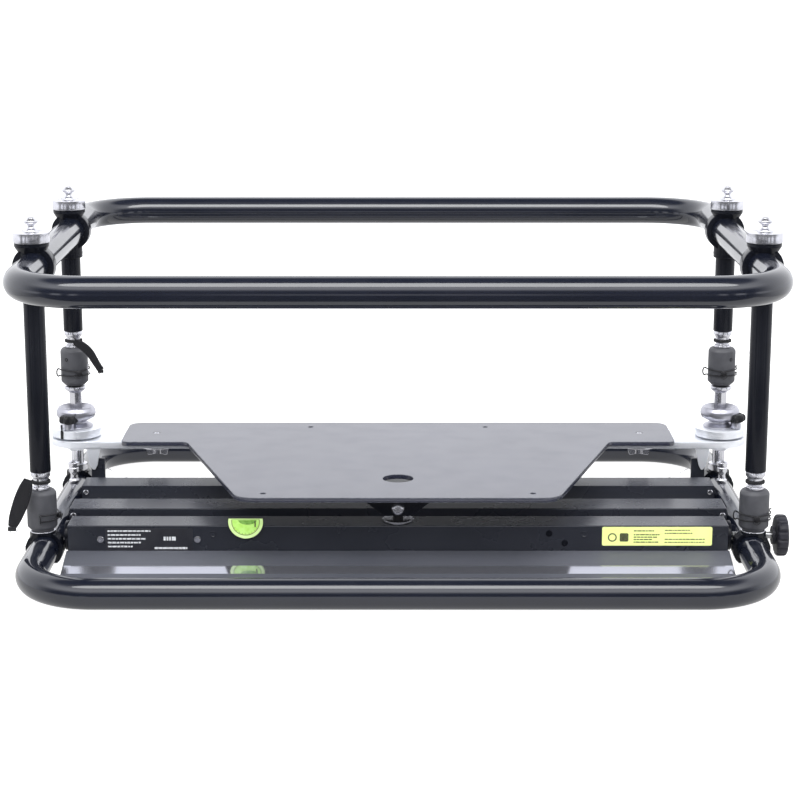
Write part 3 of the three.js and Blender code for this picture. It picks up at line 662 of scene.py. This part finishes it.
# ---- small things on the front rail ----------------------------------------------------------
def rail_screws():
    ringed = Build()
    for x in (-479.8, -323.4):
        cap_screw(ringed, (x, RAIL_FACE, 39), "-Y", 5.6, 2.3, 2.3)
    # The black second look goes on the socket floors: painted shade in the sockets.
    ringed.finish("label_screws", ["steel", "plastic"], "frame", "bright_steel")
    socket = Build()
    for x, z in ((243.5, 49.3), (268.9, 33.2)):
        cap_screw(socket, (x, RAIL_FACE, z), "-Y", 5.2, 1.6, 2.5)
    socket.finish("rail_cap_screws", ["satin", "dull"], "frame", "satin_black")
    plugs = Build()
    for x in (-298, 300):
        dished = eased([(5.6, 0.2), (5.6, -0.9), (4.2, -1.1), (3.6, -0.4), (0.01, -0.4)], 0.3)
        plugs.lathe(dished, (x, RAIL_FACE, 48), "Y", 28)
    plugs.finish("rail_plugs", ["rail"], "frame", "satin_black")


rail_screws()


def printed_rows(name, x0, x1, rows, height, seed, look, gap, proud=0.35):
    """Rows of small raised blocks, standing for printing without any lettering.
    Each row is its height, and its start and end as shares of the width."""
    chance = random.Random(seed)
    build = Build()
    for z, start, end in rows:
        x = x0 + start * (x1 - x0)
        stop = x0 + end * (x1 - x0)
        while x < stop - 2:
            width = min(chance.uniform(2.2, 7.5), stop - x)
            chance.random()  # one draw between widths keeps the rows' pattern
            low = (x, RAIL_FACE - proud, z - height / 2)
            build.box(low, (x + width, low[1] + 0.12, z + height / 2))
            x += width + gap
    build.finish(name, look, "frame", "satin_black")


def label_outline(x0, x1, z0, z1, r):
    return rounded([(x0, z0, r), (x1, z0, r), (x1, z1, r), (x0, z1, r)], 6)


def face_sheet(name, outline, front, back, bevel, look, replaced=(), hole=None):
    """A thin upright sheet on the front rail's face, between two Y values."""
    outlines = [outline] if hole is None else [outline, hole]
    plate(name, outlines, front, back, bevel, look, "frame", "lime_gauge", replaced, upright=True)


LABEL_BACK = RAIL_FACE + 0.2
plate("left_label", [label_outline(-472, -331, 20, 57.5, 1.5)], RAIL_FACE - 0.28, LABEL_BACK, 0.08,
      "label_black", "frame", "satin_black", upright=True)
left_rows = [(53.2, 0, 0.52), (46.6, 0, 0.40), (40.2, 0, 0.46), (33.8, 0, 0.40), (27.2, 0, 0.30)]
printed_rows("left_label_rows", -468, -335, left_rows, 2.6, 3, "white_mark", 1.1)
printed_rows("left_label_badge", -378, -350, [(40.5, 0.0, 0.7)], 6.4, 8, "white_mark", 1.4)
printed_rows("left_label_strip", -393, -338, [(24.6, 0.0, 1.0)], 3.2, 5, "white_mark", 0.8)

face_sheet("right_label", label_outline(329, 506.5, 28.7, 60.0, 3.2), RAIL_FACE - 0.32, LABEL_BACK,
           0.1, "label")
right_rows = [(53.5, 0, 0.82), (47.0, 0, 1), (43.0, 0, 0.95), (39.0, 0, 0.7), (34.6, 0, 0.95)]
printed_rows("right_label_rows", 380, 422, right_rows, 1.9, 11, "dark_mark", 0.9, proud=0.42)
more_rows = [(54.5, 0, 0.62), (49.4, 0, 0.70), (39.4, 0, 1), (34.4, 0, 0.96)]
printed_rows("right_label_more", 430, 497, more_rows, 1.7, 12, "dark_mark", 1.0, proud=0.42)


def label_signs():
    """Two plain geometric marks: a ring and a solid block."""
    front, back, bevel = RAIL_FACE - 0.42, RAIL_FACE - 0.3, 0.02
    ring_x, ring_z = 345.5, 42.5
    face_sheet("right_label_ring", circle(ring_x, ring_z, 7.2), front, back, bevel, "dark_mark",
               hole=circle(ring_x, ring_z, 5.2))
    face_sheet("right_label_block", label_outline(357.5, 371.5, 35.5, 49.5, 2.5), front, back, bevel,
               "dark_mark")


label_signs()


def tilt_gauge():
    x, z, flat = -245, 70, 76
    face = RAIL_FACE - 5

    def half_round(r, drop=0.0, steps=36):
        """A disc cut off level near its top."""
        lean = math.asin(min((flat - drop - z) / r, 1))
        turns = [math.pi - lean + i * (math.pi + 2 * lean) / steps for i in range(steps + 1)]
        return [(x + r * math.cos(turn), z + r * math.sin(turn)) for turn in turns]

    face_sheet("tilt_gauge_back", half_round(29), face + 0.6, RAIL_FACE - 0.3, 0.5, "plastic", "tilt_gauge")
    face_sheet("tilt_gauge_rim", half_round(28, 0.8), face, face + 1.2, 0.4, "lime_rim")
    face_sheet("tilt_gauge_line", half_round(22.8, 2.0), face - 0.12, face + 0.4, 0.05, "olive_mark")
    face_sheet("tilt_gauge_dial", half_round(21.6, 2.6), face - 0.28, face + 0.3, 0.1, "lime")
    vial_x, vial_z, half_length, depth, steps = x + 3, 72.6, 14.5, 7.2, 24
    turns = [math.pi + math.pi * i / steps for i in range(steps + 1)]
    vial = [(vial_x + half_length * math.cos(turn), vial_z + depth * math.sin(turn)) for turn in turns]
    face_sheet("tilt_gauge_vial", vial, face - 0.5, face, 0.15, "fluid")
    build = Build()
    build.box((x + 14.2, face - 0.62, 61.5), (x + 16.4, face - 0.2, 71.5))
    for i in range(-4, 5):
        lean = math.radians(270 + 15 * i)
        ends = [Vector((x + r * math.cos(lean), face - 0.34, z + r * math.sin(lean))) for r in (19.2, 21.0)]
        build.wire(ends, 0.32, sides=6)
    build.finish("tilt_gauge_marks", "dark_mark", "frame", "lime_gauge")


tilt_gauge()

# ---- platform --------------------------------------------------------------------------------
PLATE_Z, BEAM_Z = (115.3, 123.3), (103, 115)
CLAMP_X, CLAMP_Y = 429, 170
half = [(-485, 249, 28), (-485, 103, 14), (-369, 103, 16), (-254, -261, 36)]
outline = rounded(half + [(-x, y, r) for x, y, r in reversed(half)])
holes = [circle(0, -142, 25, 64)]
clamp_holes = []
for side in (-1, 1):
    clamp_hole = circle(side * CLAMP_X, CLAMP_Y, 5.6, 24)
    clamp_holes.append(clamp_hole)
    holes += [circle(side * 157, 214, 4.5, 24), circle(side * 215, -234, 4.5, 24), clamp_hole]
plate("platform_coated", [outline] + holes, *PLATE_Z, 0.9, ["plate", "edge"], "platform", "satin_black",
      "platform_plate")

beam_slots = [slot_outline(side * POST_X, REAR_Y, 26.5, 15.5) for side in (-1, 1)]
plate("rear_beam_milled", [slot_outline(0, REAR_Y, POST_X + 45, 45, 40)] + beam_slots + clamp_holes, *BEAM_Z,
      0.8, "aluminium", "platform", "aluminium", "rear_beam")

softened("pivot_bracket_coated", "pivot_bracket", 1.2, ["satin", "edge"], "platform")


def pivot_bolt():
    build = Build()
    centre = (0, 0, PIVOT_Z)
    head = [(0.01, -212.4), (11, -212.4), (11, -215.4), (9.6, -218.6), (7.6, -220.6), (5.6, -221),
            (hexagon(4.4), -221), (hexagon(4.4), -216)]
    nut = [(hexagon(8.0), -147.7), (hexagon(8.6), -147.1), (hexagon(8.6), -141.5), (hexagon(8.0), -141)]
    build.lathe(head, centre, "Y", 48)
    # A black disc on the socket's floor: painted shade in the socket.
    build.lathe([(4.3, -216.4), (4.3, -215.8)], centre, "Y", 24, slot=1)
    build.lathe([(5, -212), (5, -147.7)], centre, "Y", 32)
    build.lathe(nut, centre, "Y", 36)
    build.finish("pivot_bolt_turned", ["steel", "plastic"], "platform", "bright_steel", "pivot_bolt")


pivot_bolt()

disc_rows = eased([(9, 62.4), (25, 62.4), (25, 66.4), (9, 66.4)], 0.8)
Build().lathe(disc_rows, (0, PIVOT_Y, 0), segments=64, closed=True).finish(
    "pivot_disc_turned", "steel", "carriage", "bright_steel", "pivot_disc")
softened("carriage_block", "carriage", 0.8, ["plastic", "plastic"], "carriage")


def pivot_ball():
    rows = [(5.4, -7), (6.5, -7)]
    rows += [(math.sqrt(9.6 ** 2 - h ** 2), h) for h in (-6.6, -5, -3, -1, 1, 3, 5, 6.6)]
    rows += [(6.5, 7), (5.4, 7)]
    Build().lathe(rows, (0, PIVOT_Y, PIVOT_Z), "Y", 36, closed=True).finish(
        "pivot_ball_turned", "steel", "ball", "bright_steel", "pivot_ball")


pivot_ball()


def lead_screw():
    start, thread_end, pitch = -60.0, 590, 4.0
    rows = [(0.01, -62), (4.6, -62)]
    x = start
    while x < thread_end:
        rows += [(6.0, x), (6.0, x + 1.2), (5.1, x + 2.4), (5.1, x + 2.6)]
        x += pitch
    rows += [(6, 592), (6, 624), (0.01, 624)]
    centre = (0, PIVOT_Y, SCREW_Z)
    build = Build().lathe(rows, centre, "X", 20)
    build.lathe(eased([(6, 522), (10, 522), (10, 528), (6, 528)], 0.6), centre, "X", 28, closed=True)
    build.finish("lead_screw_threaded", "dull", "shift_screw", "bright_steel", "lead_screw")


lead_screw()


def shift_wheel():
    grooves = 14

    def grip(r, depth):
        return lambda angle: r - depth * max(0.0, math.cos(grooves * angle)) ** 3

    rows = [(0.01, 607), (15, 607), (15, 612), (28, 612.4), (grip(31.5, 1.0), 613.4), (grip(33.8, 2.4), 616),
            (grip(34, 2.6), 619), (grip(34, 2.6), 626), (grip(33.2, 2.2), 629), (grip(30.6, 1.0), 630.8),
            (27.5, 631.4), (22, 631.4), (20.5, 629.6), (8, 629.2), (6.5, 630.4), (0.01, 630.4)]
    Build().lathe(rows, (0, PIVOT_Y, SCREW_Z), "X", 140).finish(
        "shift_wheel_grip", "grip", "shift_screw", "black_plastic", "shift_wheel", sharp=40)


shift_wheel()


# ---- levelling stations ----------------------------------------------------------------------
def clamp_screw(name, body, side):
    x, y = side * CLAMP_X, CLAMP_Y
    build = Build()
    rows = [(0.01, 86), (8, 86), (8, 99.7), (31.4, 99.7), (32, 100.6), (32, 102.6), (5, 102.6), (5, 121.2),
            (0.01, 121.2)]
    build.lathe(rows, (x, y, 0), segments=48)
    black_end = [(0.01, 121.1), (5, 121.1), (5, 122.4), (4.4, 123), (hexagon(2.2), 123),
                 (hexagon(2.2), 121.3), (0.01, 121.3)]
    build.lathe(black_end, (x, y, 0), segments=48, slot=1)
    build.finish(f"{name}_turned", ["steel", "plastic"], body, "bright_steel", name)
    wing = [(-20, 96, 2), (-17, 82.5, 4), (-6, 85, 2), (6, 85, 2), (17, 82.5, 4), (20, 96, 2), (10, 98, 1),
            (-10, 98, 1)]
    outline = rounded([(x + offset, z, r) for offset, z, r in wing], 4)
    plate(f"{name}_wing", [outline], y - 2, y + 2, 0.7, "steel", body, "bright_steel", upright=True)


def fin(name, side):
    corners = [(526, 102.7, 0.5), (532, 72, 2), (536, 64, 2), (540, 64, 2), (545, 72, 2), (551, 102.7, 0.5)]
    outline = rounded([(side * x, z, r) for x, z, r in corners], 4)
    plate(f"{name}_milled", [outline], 136.5, 142.5, 0.6, "aluminium", "platform", "aluminium", name, True)


def hub(name, side, body):
    rows = [(11.8, 92), (hexagon(16.4), 92), (hexagon(17.0), 92.7), (hexagon(17.0), 101.1),
            (hexagon(16.4), 101.8), (14, 101.8), (14, 118.5), (43.2, 118.5), (44, 119.3), (44, 124.9),
            (43.6, 125.2), (43.6, 126.0), (44, 126.3), (44, 132.2), (43.2, 133), (11.8, 133)]
    Build().lathe(rows, (side * POST_X, REAR_Y, 0), segments=72, closed=True).finish(
        f"{name}_milled", "aluminium", body, "aluminium", name)


def hand_wheel(name, side, body, knob_x, knob_y):
    x = side * POST_X
    rows = [(11.8, 133.4), (29, 133.4), (29, 135), (19.4, 141), (18.6, 144.2), (25.5, 147), (32.6, 151),
            (35, 157), (34.2, 163.4), (30.4, 169.4), (28.4, 170), (26.4, 168.6), (21, 163.2), (11.8, 161.6)]
    build = Build().lathe(eased(rows, 2.2), (x, REAR_Y, 0), segments=72, closed=True)
    build.finish(f"{name}_cast", "cast", body, "cast_aluminium", name)
    boss = eased([(0.01, 134), (9, 134), (9, 144.8), (0.01, 144.8)], 1.0)
    Build().lathe(boss, (x + knob_x, REAR_Y + knob_y, 0), segments=32).finish(
        f"{name}_boss", "cast", body, "cast_aluminium")


def knob(name, side, body, knob_x, knob_y):
    points = 7

    def star(r, depth):
        return lambda angle: r - depth + depth * math.cos(points * angle)

    rows = [(0.01, 133.8), (4, 133.8), (4, 146), (9, 146), (star(14.5, 1.0), 146.6), (star(17.2, 2.2), 149),
            (star(17.4, 2.4), 153), (star(16.6, 2.0), 157), (star(14.0, 1.0), 159.4), (9.5, 160),
            (8.4, 159.2), (0.01, 159.2)]
    build = Build().lathe(rows, (side * POST_X + knob_x, REAR_Y + knob_y, 0), segments=84)
    build.finish(f"{name}_star", "plastic", body, "black_plastic", name, sharp=40)


for side_name, side, knob_x, knob_y in (("left", -1, -9, -30), ("right", 1, 26, -18)):
    clamp_screw(f"clamp_screw_{side_name}", f"clamp_{side_name}", side)
    fin(f"guide_fin_{side_name}", side)
    hub(f"levelling_hub_{side_name}", side, f"hub_{side_name}")
    hand_wheel(f"hand_wheel_{side_name}", side, f"wheel_{side_name}", knob_x, knob_y)
    knob(f"clamp_knob_{side_name}", side, f"knob_{side_name}", knob_x, knob_y)

pointer = [(-595.3, 119), (-590.7, 119), (-590.7, 133.4), (-591.6, 134.4), (-591.6, 144.6), (-594.4, 144.6),
           (-594.4, 134.4), (-595.3, 133.4)]
plate("hub_pointer", [pointer], 138.6, 140.6, 0.3, "plastic", "hub_left", "black_plastic", upright=True)


# ---- lanyards, rings and thin wires ----------------------------------------------------------
def strap(name, centre_line, y, half_thick, replaced):
    """A flat woven strap through (x, z, half width) points, with eased edges and stitched ends."""
    path = smoothed([(x, 0, z) for x, z, _ in centre_line], 10)
    widths = [p.x for p in smoothed([(w, 0, 0) for _, _, w in centre_line], 10)]
    section = []
    for k in range(24):
        angle = TAU * k / 24
        a, b = math.cos(angle), math.sin(angle)
        section.append((math.copysign(abs(a) ** 0.45, a), math.copysign(abs(b) ** 0.7, b) * half_thick))
    points, faces = [], []
    count, size = len(path), len(section)

    def across(i):
        along = (path[min(i + 1, count - 1)] - path[max(i - 1, 0)]).normalized()
        return Vector((along.z, 0, -along.x))

    for i, here in enumerate(path):
        for a, b in section:
            points.append(Vector((here.x, y + b, here.z)) + across(i) * a * widths[i])
    for i in range(count - 1):
        for k in range(size):
            m = (k + 1) % size
            faces.append([i * size + k, i * size + m, (i + 1) * size + m, (i + 1) * size + k])
    faces.append(list(range(size))[::-1])
    faces.append([(count - 1) * size + k for k in range(size)])
    Build().add(points, faces).finish(name, "webbing", "frame", "webbing", replaced, sharp=50)
    stitches = Build()
    for i in range(3, count - 3):
        along = (path[i + 1] - path[i - 1]).normalized()
        for offset in (-0.78, 0.78):
            spot = Vector((path[i].x, y - half_thick - 0.05, path[i].z)) + across(i) * offset * widths[i]
            stitches.wire([spot - along * 0.9, spot + Vector((0, -0.25, 0)), spot + along * 0.9], 0.28, sides=6)
    stitches.finish(name + "_stitches", "grip", "frame", "webbing")


front_line = [(-587, 147, 7), (-592, 132, 11), (-600, 110, 12.5), (-610, 84, 10.5), (-615.5, 69, 7)]
strap("front_lanyard", front_line, -238, 1.8, "strap_front_left")
rear_line = [(-566, 293, 6), (-553, 287, 7.5), (-540, 275, 7.5), (-530, 258, 6.5), (-521, 243, 6)]
strap("rear_lanyard", rear_line, 142, 1.8, "strap_rear_left")


def neck_bands():
    """A short loop of webbing round each post's neck."""
    build = Build()
    section = eased([(14.2, -2.2), (15.6, -2.2), (15.6, 2.2), (14.2, 2.2)], 0.6)
    for y, z in ((FRONT_Y, 135), (REAR_Y, 289)):
        for side in (-1, 1):
            build.lathe([(r, h + z) for r, h in section], (side * POST_X, y, 0), segments=40, closed=True)
    build.finish("neck_bands", "webbing", "frame", "webbing")


def lanyard_crimps():
    """A crimp at each strap's foot."""
    build = Build()
    build.box((-622.4, -240.6, 62.2), (-609.5, -235.6, 69.0))
    build.box((-526.4, 139.6, 238.4), (-516.6, 144.4, 243.4))
    build.finish("lanyard_crimps", "plastic", "frame", "webbing")


def safety_wires():
    build = Build()
    steps = 40
    for centre, rx, rz, lean in (((-531, 146, 249), 14, 14, 4), ((613, -214, 94.5), 13, 9, 4),
                                 ((610, 160, 262), 11, 12, 6)):
        turns = [TAU * i / steps for i in range(steps)]
        ring = [Vector(centre) + Vector((rx * math.cos(a), lean * math.sin(a), rz * math.sin(a)))
                for a in turns]
        build.wire(ring, 0.55, closed=True, sides=8)
    for side in (-1, 1):
        path = [(side * 514, 140, 66), (side * 500, 123, 63.5), (side * 486, 106, 63), (side * 474, 91, 62.8)]
        build.wire(smoothed(path, 6), 0.5, sides=8)
    hook = [(-620, -238, 62.5), (-617, -236, 56), (-611, -234, 58), (-607, -232, 65)]
    build.wire(smoothed(hook, 6), 0.55, sides=8)
    build.finish("safety_wires", "steel", "frame", "bright_steel", sharp=60)


neck_bands()
lanyard_crimps()
safety_wires()


def end_screws():
    build = Build()
    for side in (-1, 1):
        for y in (36, -107):
            for z in (51, 27):
                cap_screw(build, (side * 538, y, z), "-Y", 4.6, 3.4, 2.2)
        cap_screw(build, (side * 532, 147, 40), "-Y", 3.8, 2.6, 1.8)
    # The black second look goes on the socket floors: painted shade in the sockets.
    build.finish("rail_end_screws", ["steel", "plastic"], "frame", "bright_steel")


end_screws()

for spare in ("spigot_front_left", "spigot_front_right"):
    nodes[spare].data.materials.clear()
    nodes[spare].data.materials.append(LOOKS["steel"])


# ---- stage -----------------------------------------------------------------------------------
ROOM_HALF = 60  # metres from the middle to each wall
FLOOR_Z, SHEET_Z = -0.0005, -0.0004
SHEET_X, SHEET_Y = 1.3, 0.75
CAMERA_TILT = 0.2257  # radians below level


def add_camera():
    scene = bpy.context.scene
    scene.view_settings.view_transform = "Standard"
    data = bpy.data.cameras.new("camera")
    data.lens = 94.5
    data.sensor_width = 36
    data.shift_x = 0.0025
    data.clip_end = 200
    camera = bpy.data.objects.new("camera", data)
    camera.location = (0, -3.4588, 1.0162)
    camera.rotation_euler = (math.pi / 2 - CAMERA_TILT, 0, 0)
    scene.collection.objects.link(camera)
    scene.camera = camera


def pale(name, shade, glow):
    made = bpy.data.materials.new(name)
    made.use_nodes = True
    bsdf = made.node_tree.nodes["Principled BSDF"]
    bsdf.inputs["Base Color"].default_value = (shade, shade, shade, 1)
    bsdf.inputs["Roughness"].default_value = 0.9
    bsdf.inputs["Specular IOR Level"].default_value = 0.0
    bsdf.inputs["Emission Color"].default_value = (1, 1, 1, 1)
    bsdf.inputs["Emission Strength"].default_value = glow
    return made


def flat_mesh(name, x, y, z):
    mesh = bpy.data.meshes.new(name)
    mesh.from_pydata([(-x, -y, z), (x, -y, z), (x, y, z), (-x, y, z)], [], [(0, 1, 2, 3)])
    return mesh


def staged(mesh, material, unseen_by):
    """A piece of the stage, hidden from the kinds of ray that are named."""
    mesh.materials.append(material)
    made = bpy.data.objects.new(mesh.name, mesh)
    bpy.context.scene.collection.objects.link(made)
    for ray in unseen_by:
        setattr(made, "visible_" + ray, False)


def add_room():
    """The floor, the walls behind it, which only the camera sees, and a white sheet close under
    the frame, which is seen only in reflections."""
    staged(flat_mesh("floor", ROOM_HALF, ROOM_HALF, FLOOR_Z), pale("pale_floor", 0.30, 0.97), ["glossy"])
    walls = bpy.data.meshes.new("pale_room")
    bm = bmesh.new()
    bmesh.ops.create_cube(bm, size=2 * ROOM_HALF)
    bm.to_mesh(walls)
    bm.free()
    staged(walls, pale("pale_walls", 0.0, 1.0), ["diffuse", "glossy", "transmission", "shadow"])
    staged(flat_mesh("white_sheet", SHEET_X, SHEET_Y, SHEET_Z), pale("pale_sheet", 0.15, 0.55),
           ["camera", "diffuse", "shadow"])


def lamp(name, place, aim, width, height, power, glossy):
    data = bpy.data.lights.new(name, "AREA")
    data.shape = "ELLIPSE" if glossy else "RECTANGLE"
    data.size, data.size_y = width, height
    data.energy = power
    made = bpy.data.objects.new(name, data)
    made.location = place
    made.rotation_euler = (Vector(aim) - Vector(place)).to_track_quat("-Z", "Y").to_euler()
    made.visible_camera = False
    made.visible_glossy = glossy
    bpy.context.scene.collection.objects.link(made)


def add_world():
    """A soft surround whose brightness goes by direction: high panels, and a dark line at eye level."""
    world = bpy.data.worlds.new("studio")
    bpy.context.scene.world = world
    world.use_nodes = True
    tree = world.node_tree
    make, link = tree.nodes.new, tree.links.new
    split = make("ShaderNodeSeparateXYZ")
    link(make("ShaderNodeTexCoord").outputs["Generated"], split.inputs[0])
    tint = (0.955, 0.965, 1.0)

    def ramp(source, stops):
        """Brightness at each value of a direction's part, from -1 to 1."""
        span = make("ShaderNodeMapRange")
        span.inputs["From Min"].default_value = -1
        link(source, span.inputs["Value"])
        made = make("ShaderNodeValToRGB")
        elements = made.color_ramp.elements
        while len(elements) < len(stops):
            elements.new(0.5)
        for element, (place, value) in zip(elements, stops):
            element.position = (place + 1) / 2
            element.color = (*(value * part for part in tint), 1)
        link(span.outputs["Result"], made.inputs["Fac"])
        return made.outputs["Color"]

    def blend(kind, first, second):
        made = make("ShaderNodeMix")
        made.data_type = "RGBA"
        made.blend_type = kind
        made.inputs["Factor"].default_value = 1
        link(first, made.inputs["A"])
        link(second, made.inputs["B"])
        return made

    def added(base, light, window):
        """The base with this light added where the window is open."""
        return blend("ADD", base, blend("MULTIPLY", light, window).outputs["Result"]).outputs["Result"]

    up, sideways = split.outputs["Z"], make("ShaderNodeMath")
    sideways.operation = "ABSOLUTE"
    link(split.outputs["X"], sideways.inputs[0])
    across = sideways.outputs[0]
    back = ramp(up, [(-1, 0.25), (-0.5, 0.5), (-0.06, 0.95), (-0.035, 0.10), (0.0, 0.10), (0.03, 1.0),
                     (0.34, 1.0), (0.74, 0.95), (0.84, 0.12), (1, 0.05)])
    # The dark line is filled towards the sides, where it would cross the hoops' outer corners.
    filling = ramp(up, [(-1, 0), (-0.06, 0), (-0.035, 0.85), (0.0, 0.85), (0.03, 0), (1, 0)])
    away = ramp(across, [(-1, 0), (0.30, 0), (0.40, 1), (1, 1)])
    back = added(back, filling, away)
    front = ramp(up, [(-1, 0.10), (-0.30, 0.08), (0.0, 0.08), (0.28, 0.12), (0.42, 0.8), (0.52, 1.7),
                      (0.72, 1.7), (0.85, 0.6), (1, 0.3)])
    # Upright white panels round the front, low down, that give bright metal its streaks.
    panels = ramp(across, [(-1, 0), (0, 0.5), (0.06, 0.5), (0.1, 0.05), (0.2, 0.05), (0.26, 0.95), (0.36, 0.95),
                           (0.42, 0.05), (0.52, 0.05), (0.58, 1.0), (0.7, 1.0), (0.76, 0.1), (0.86, 0.1),
                           (0.92, 1.0), (1, 1.0)])
    low = ramp(up, [(-1, 0), (-0.26, 0), (-0.20, 1), (-0.07, 1), (-0.02, 0), (1, 0)])
    front = added(front, panels, low)
    turn = make("ShaderNodeMapRange")  # from the front's ramps to the back's
    turn.inputs["From Min"].default_value = -0.6
    turn.inputs["From Max"].default_value = 0.2
    turn.interpolation_type = "SMOOTHSTEP"
    link(split.outputs["Y"], turn.inputs["Value"])
    mix = blend("MIX", front, back)
    link(turn.outputs["Result"], mix.inputs["Factor"])
    background = tree.nodes["Background"]
    link(mix.outputs["Result"], background.inputs["Color"])
    background.inputs["Strength"].default_value = 1.45


add_camera()
add_room()
lamp("sky_panel", (0, 0, 4.5), (0, 0, 0), 6, 6, 470, False)
lamp("front_fill", (0, -4.2, 1.3), (0, 0, 0.2), 4, 2, 95, False)
lamp("front_panel", (0, -1.55, 2.6), (0, -0.2, 0.2), 3.8, 1.15, 64, True)
add_world()
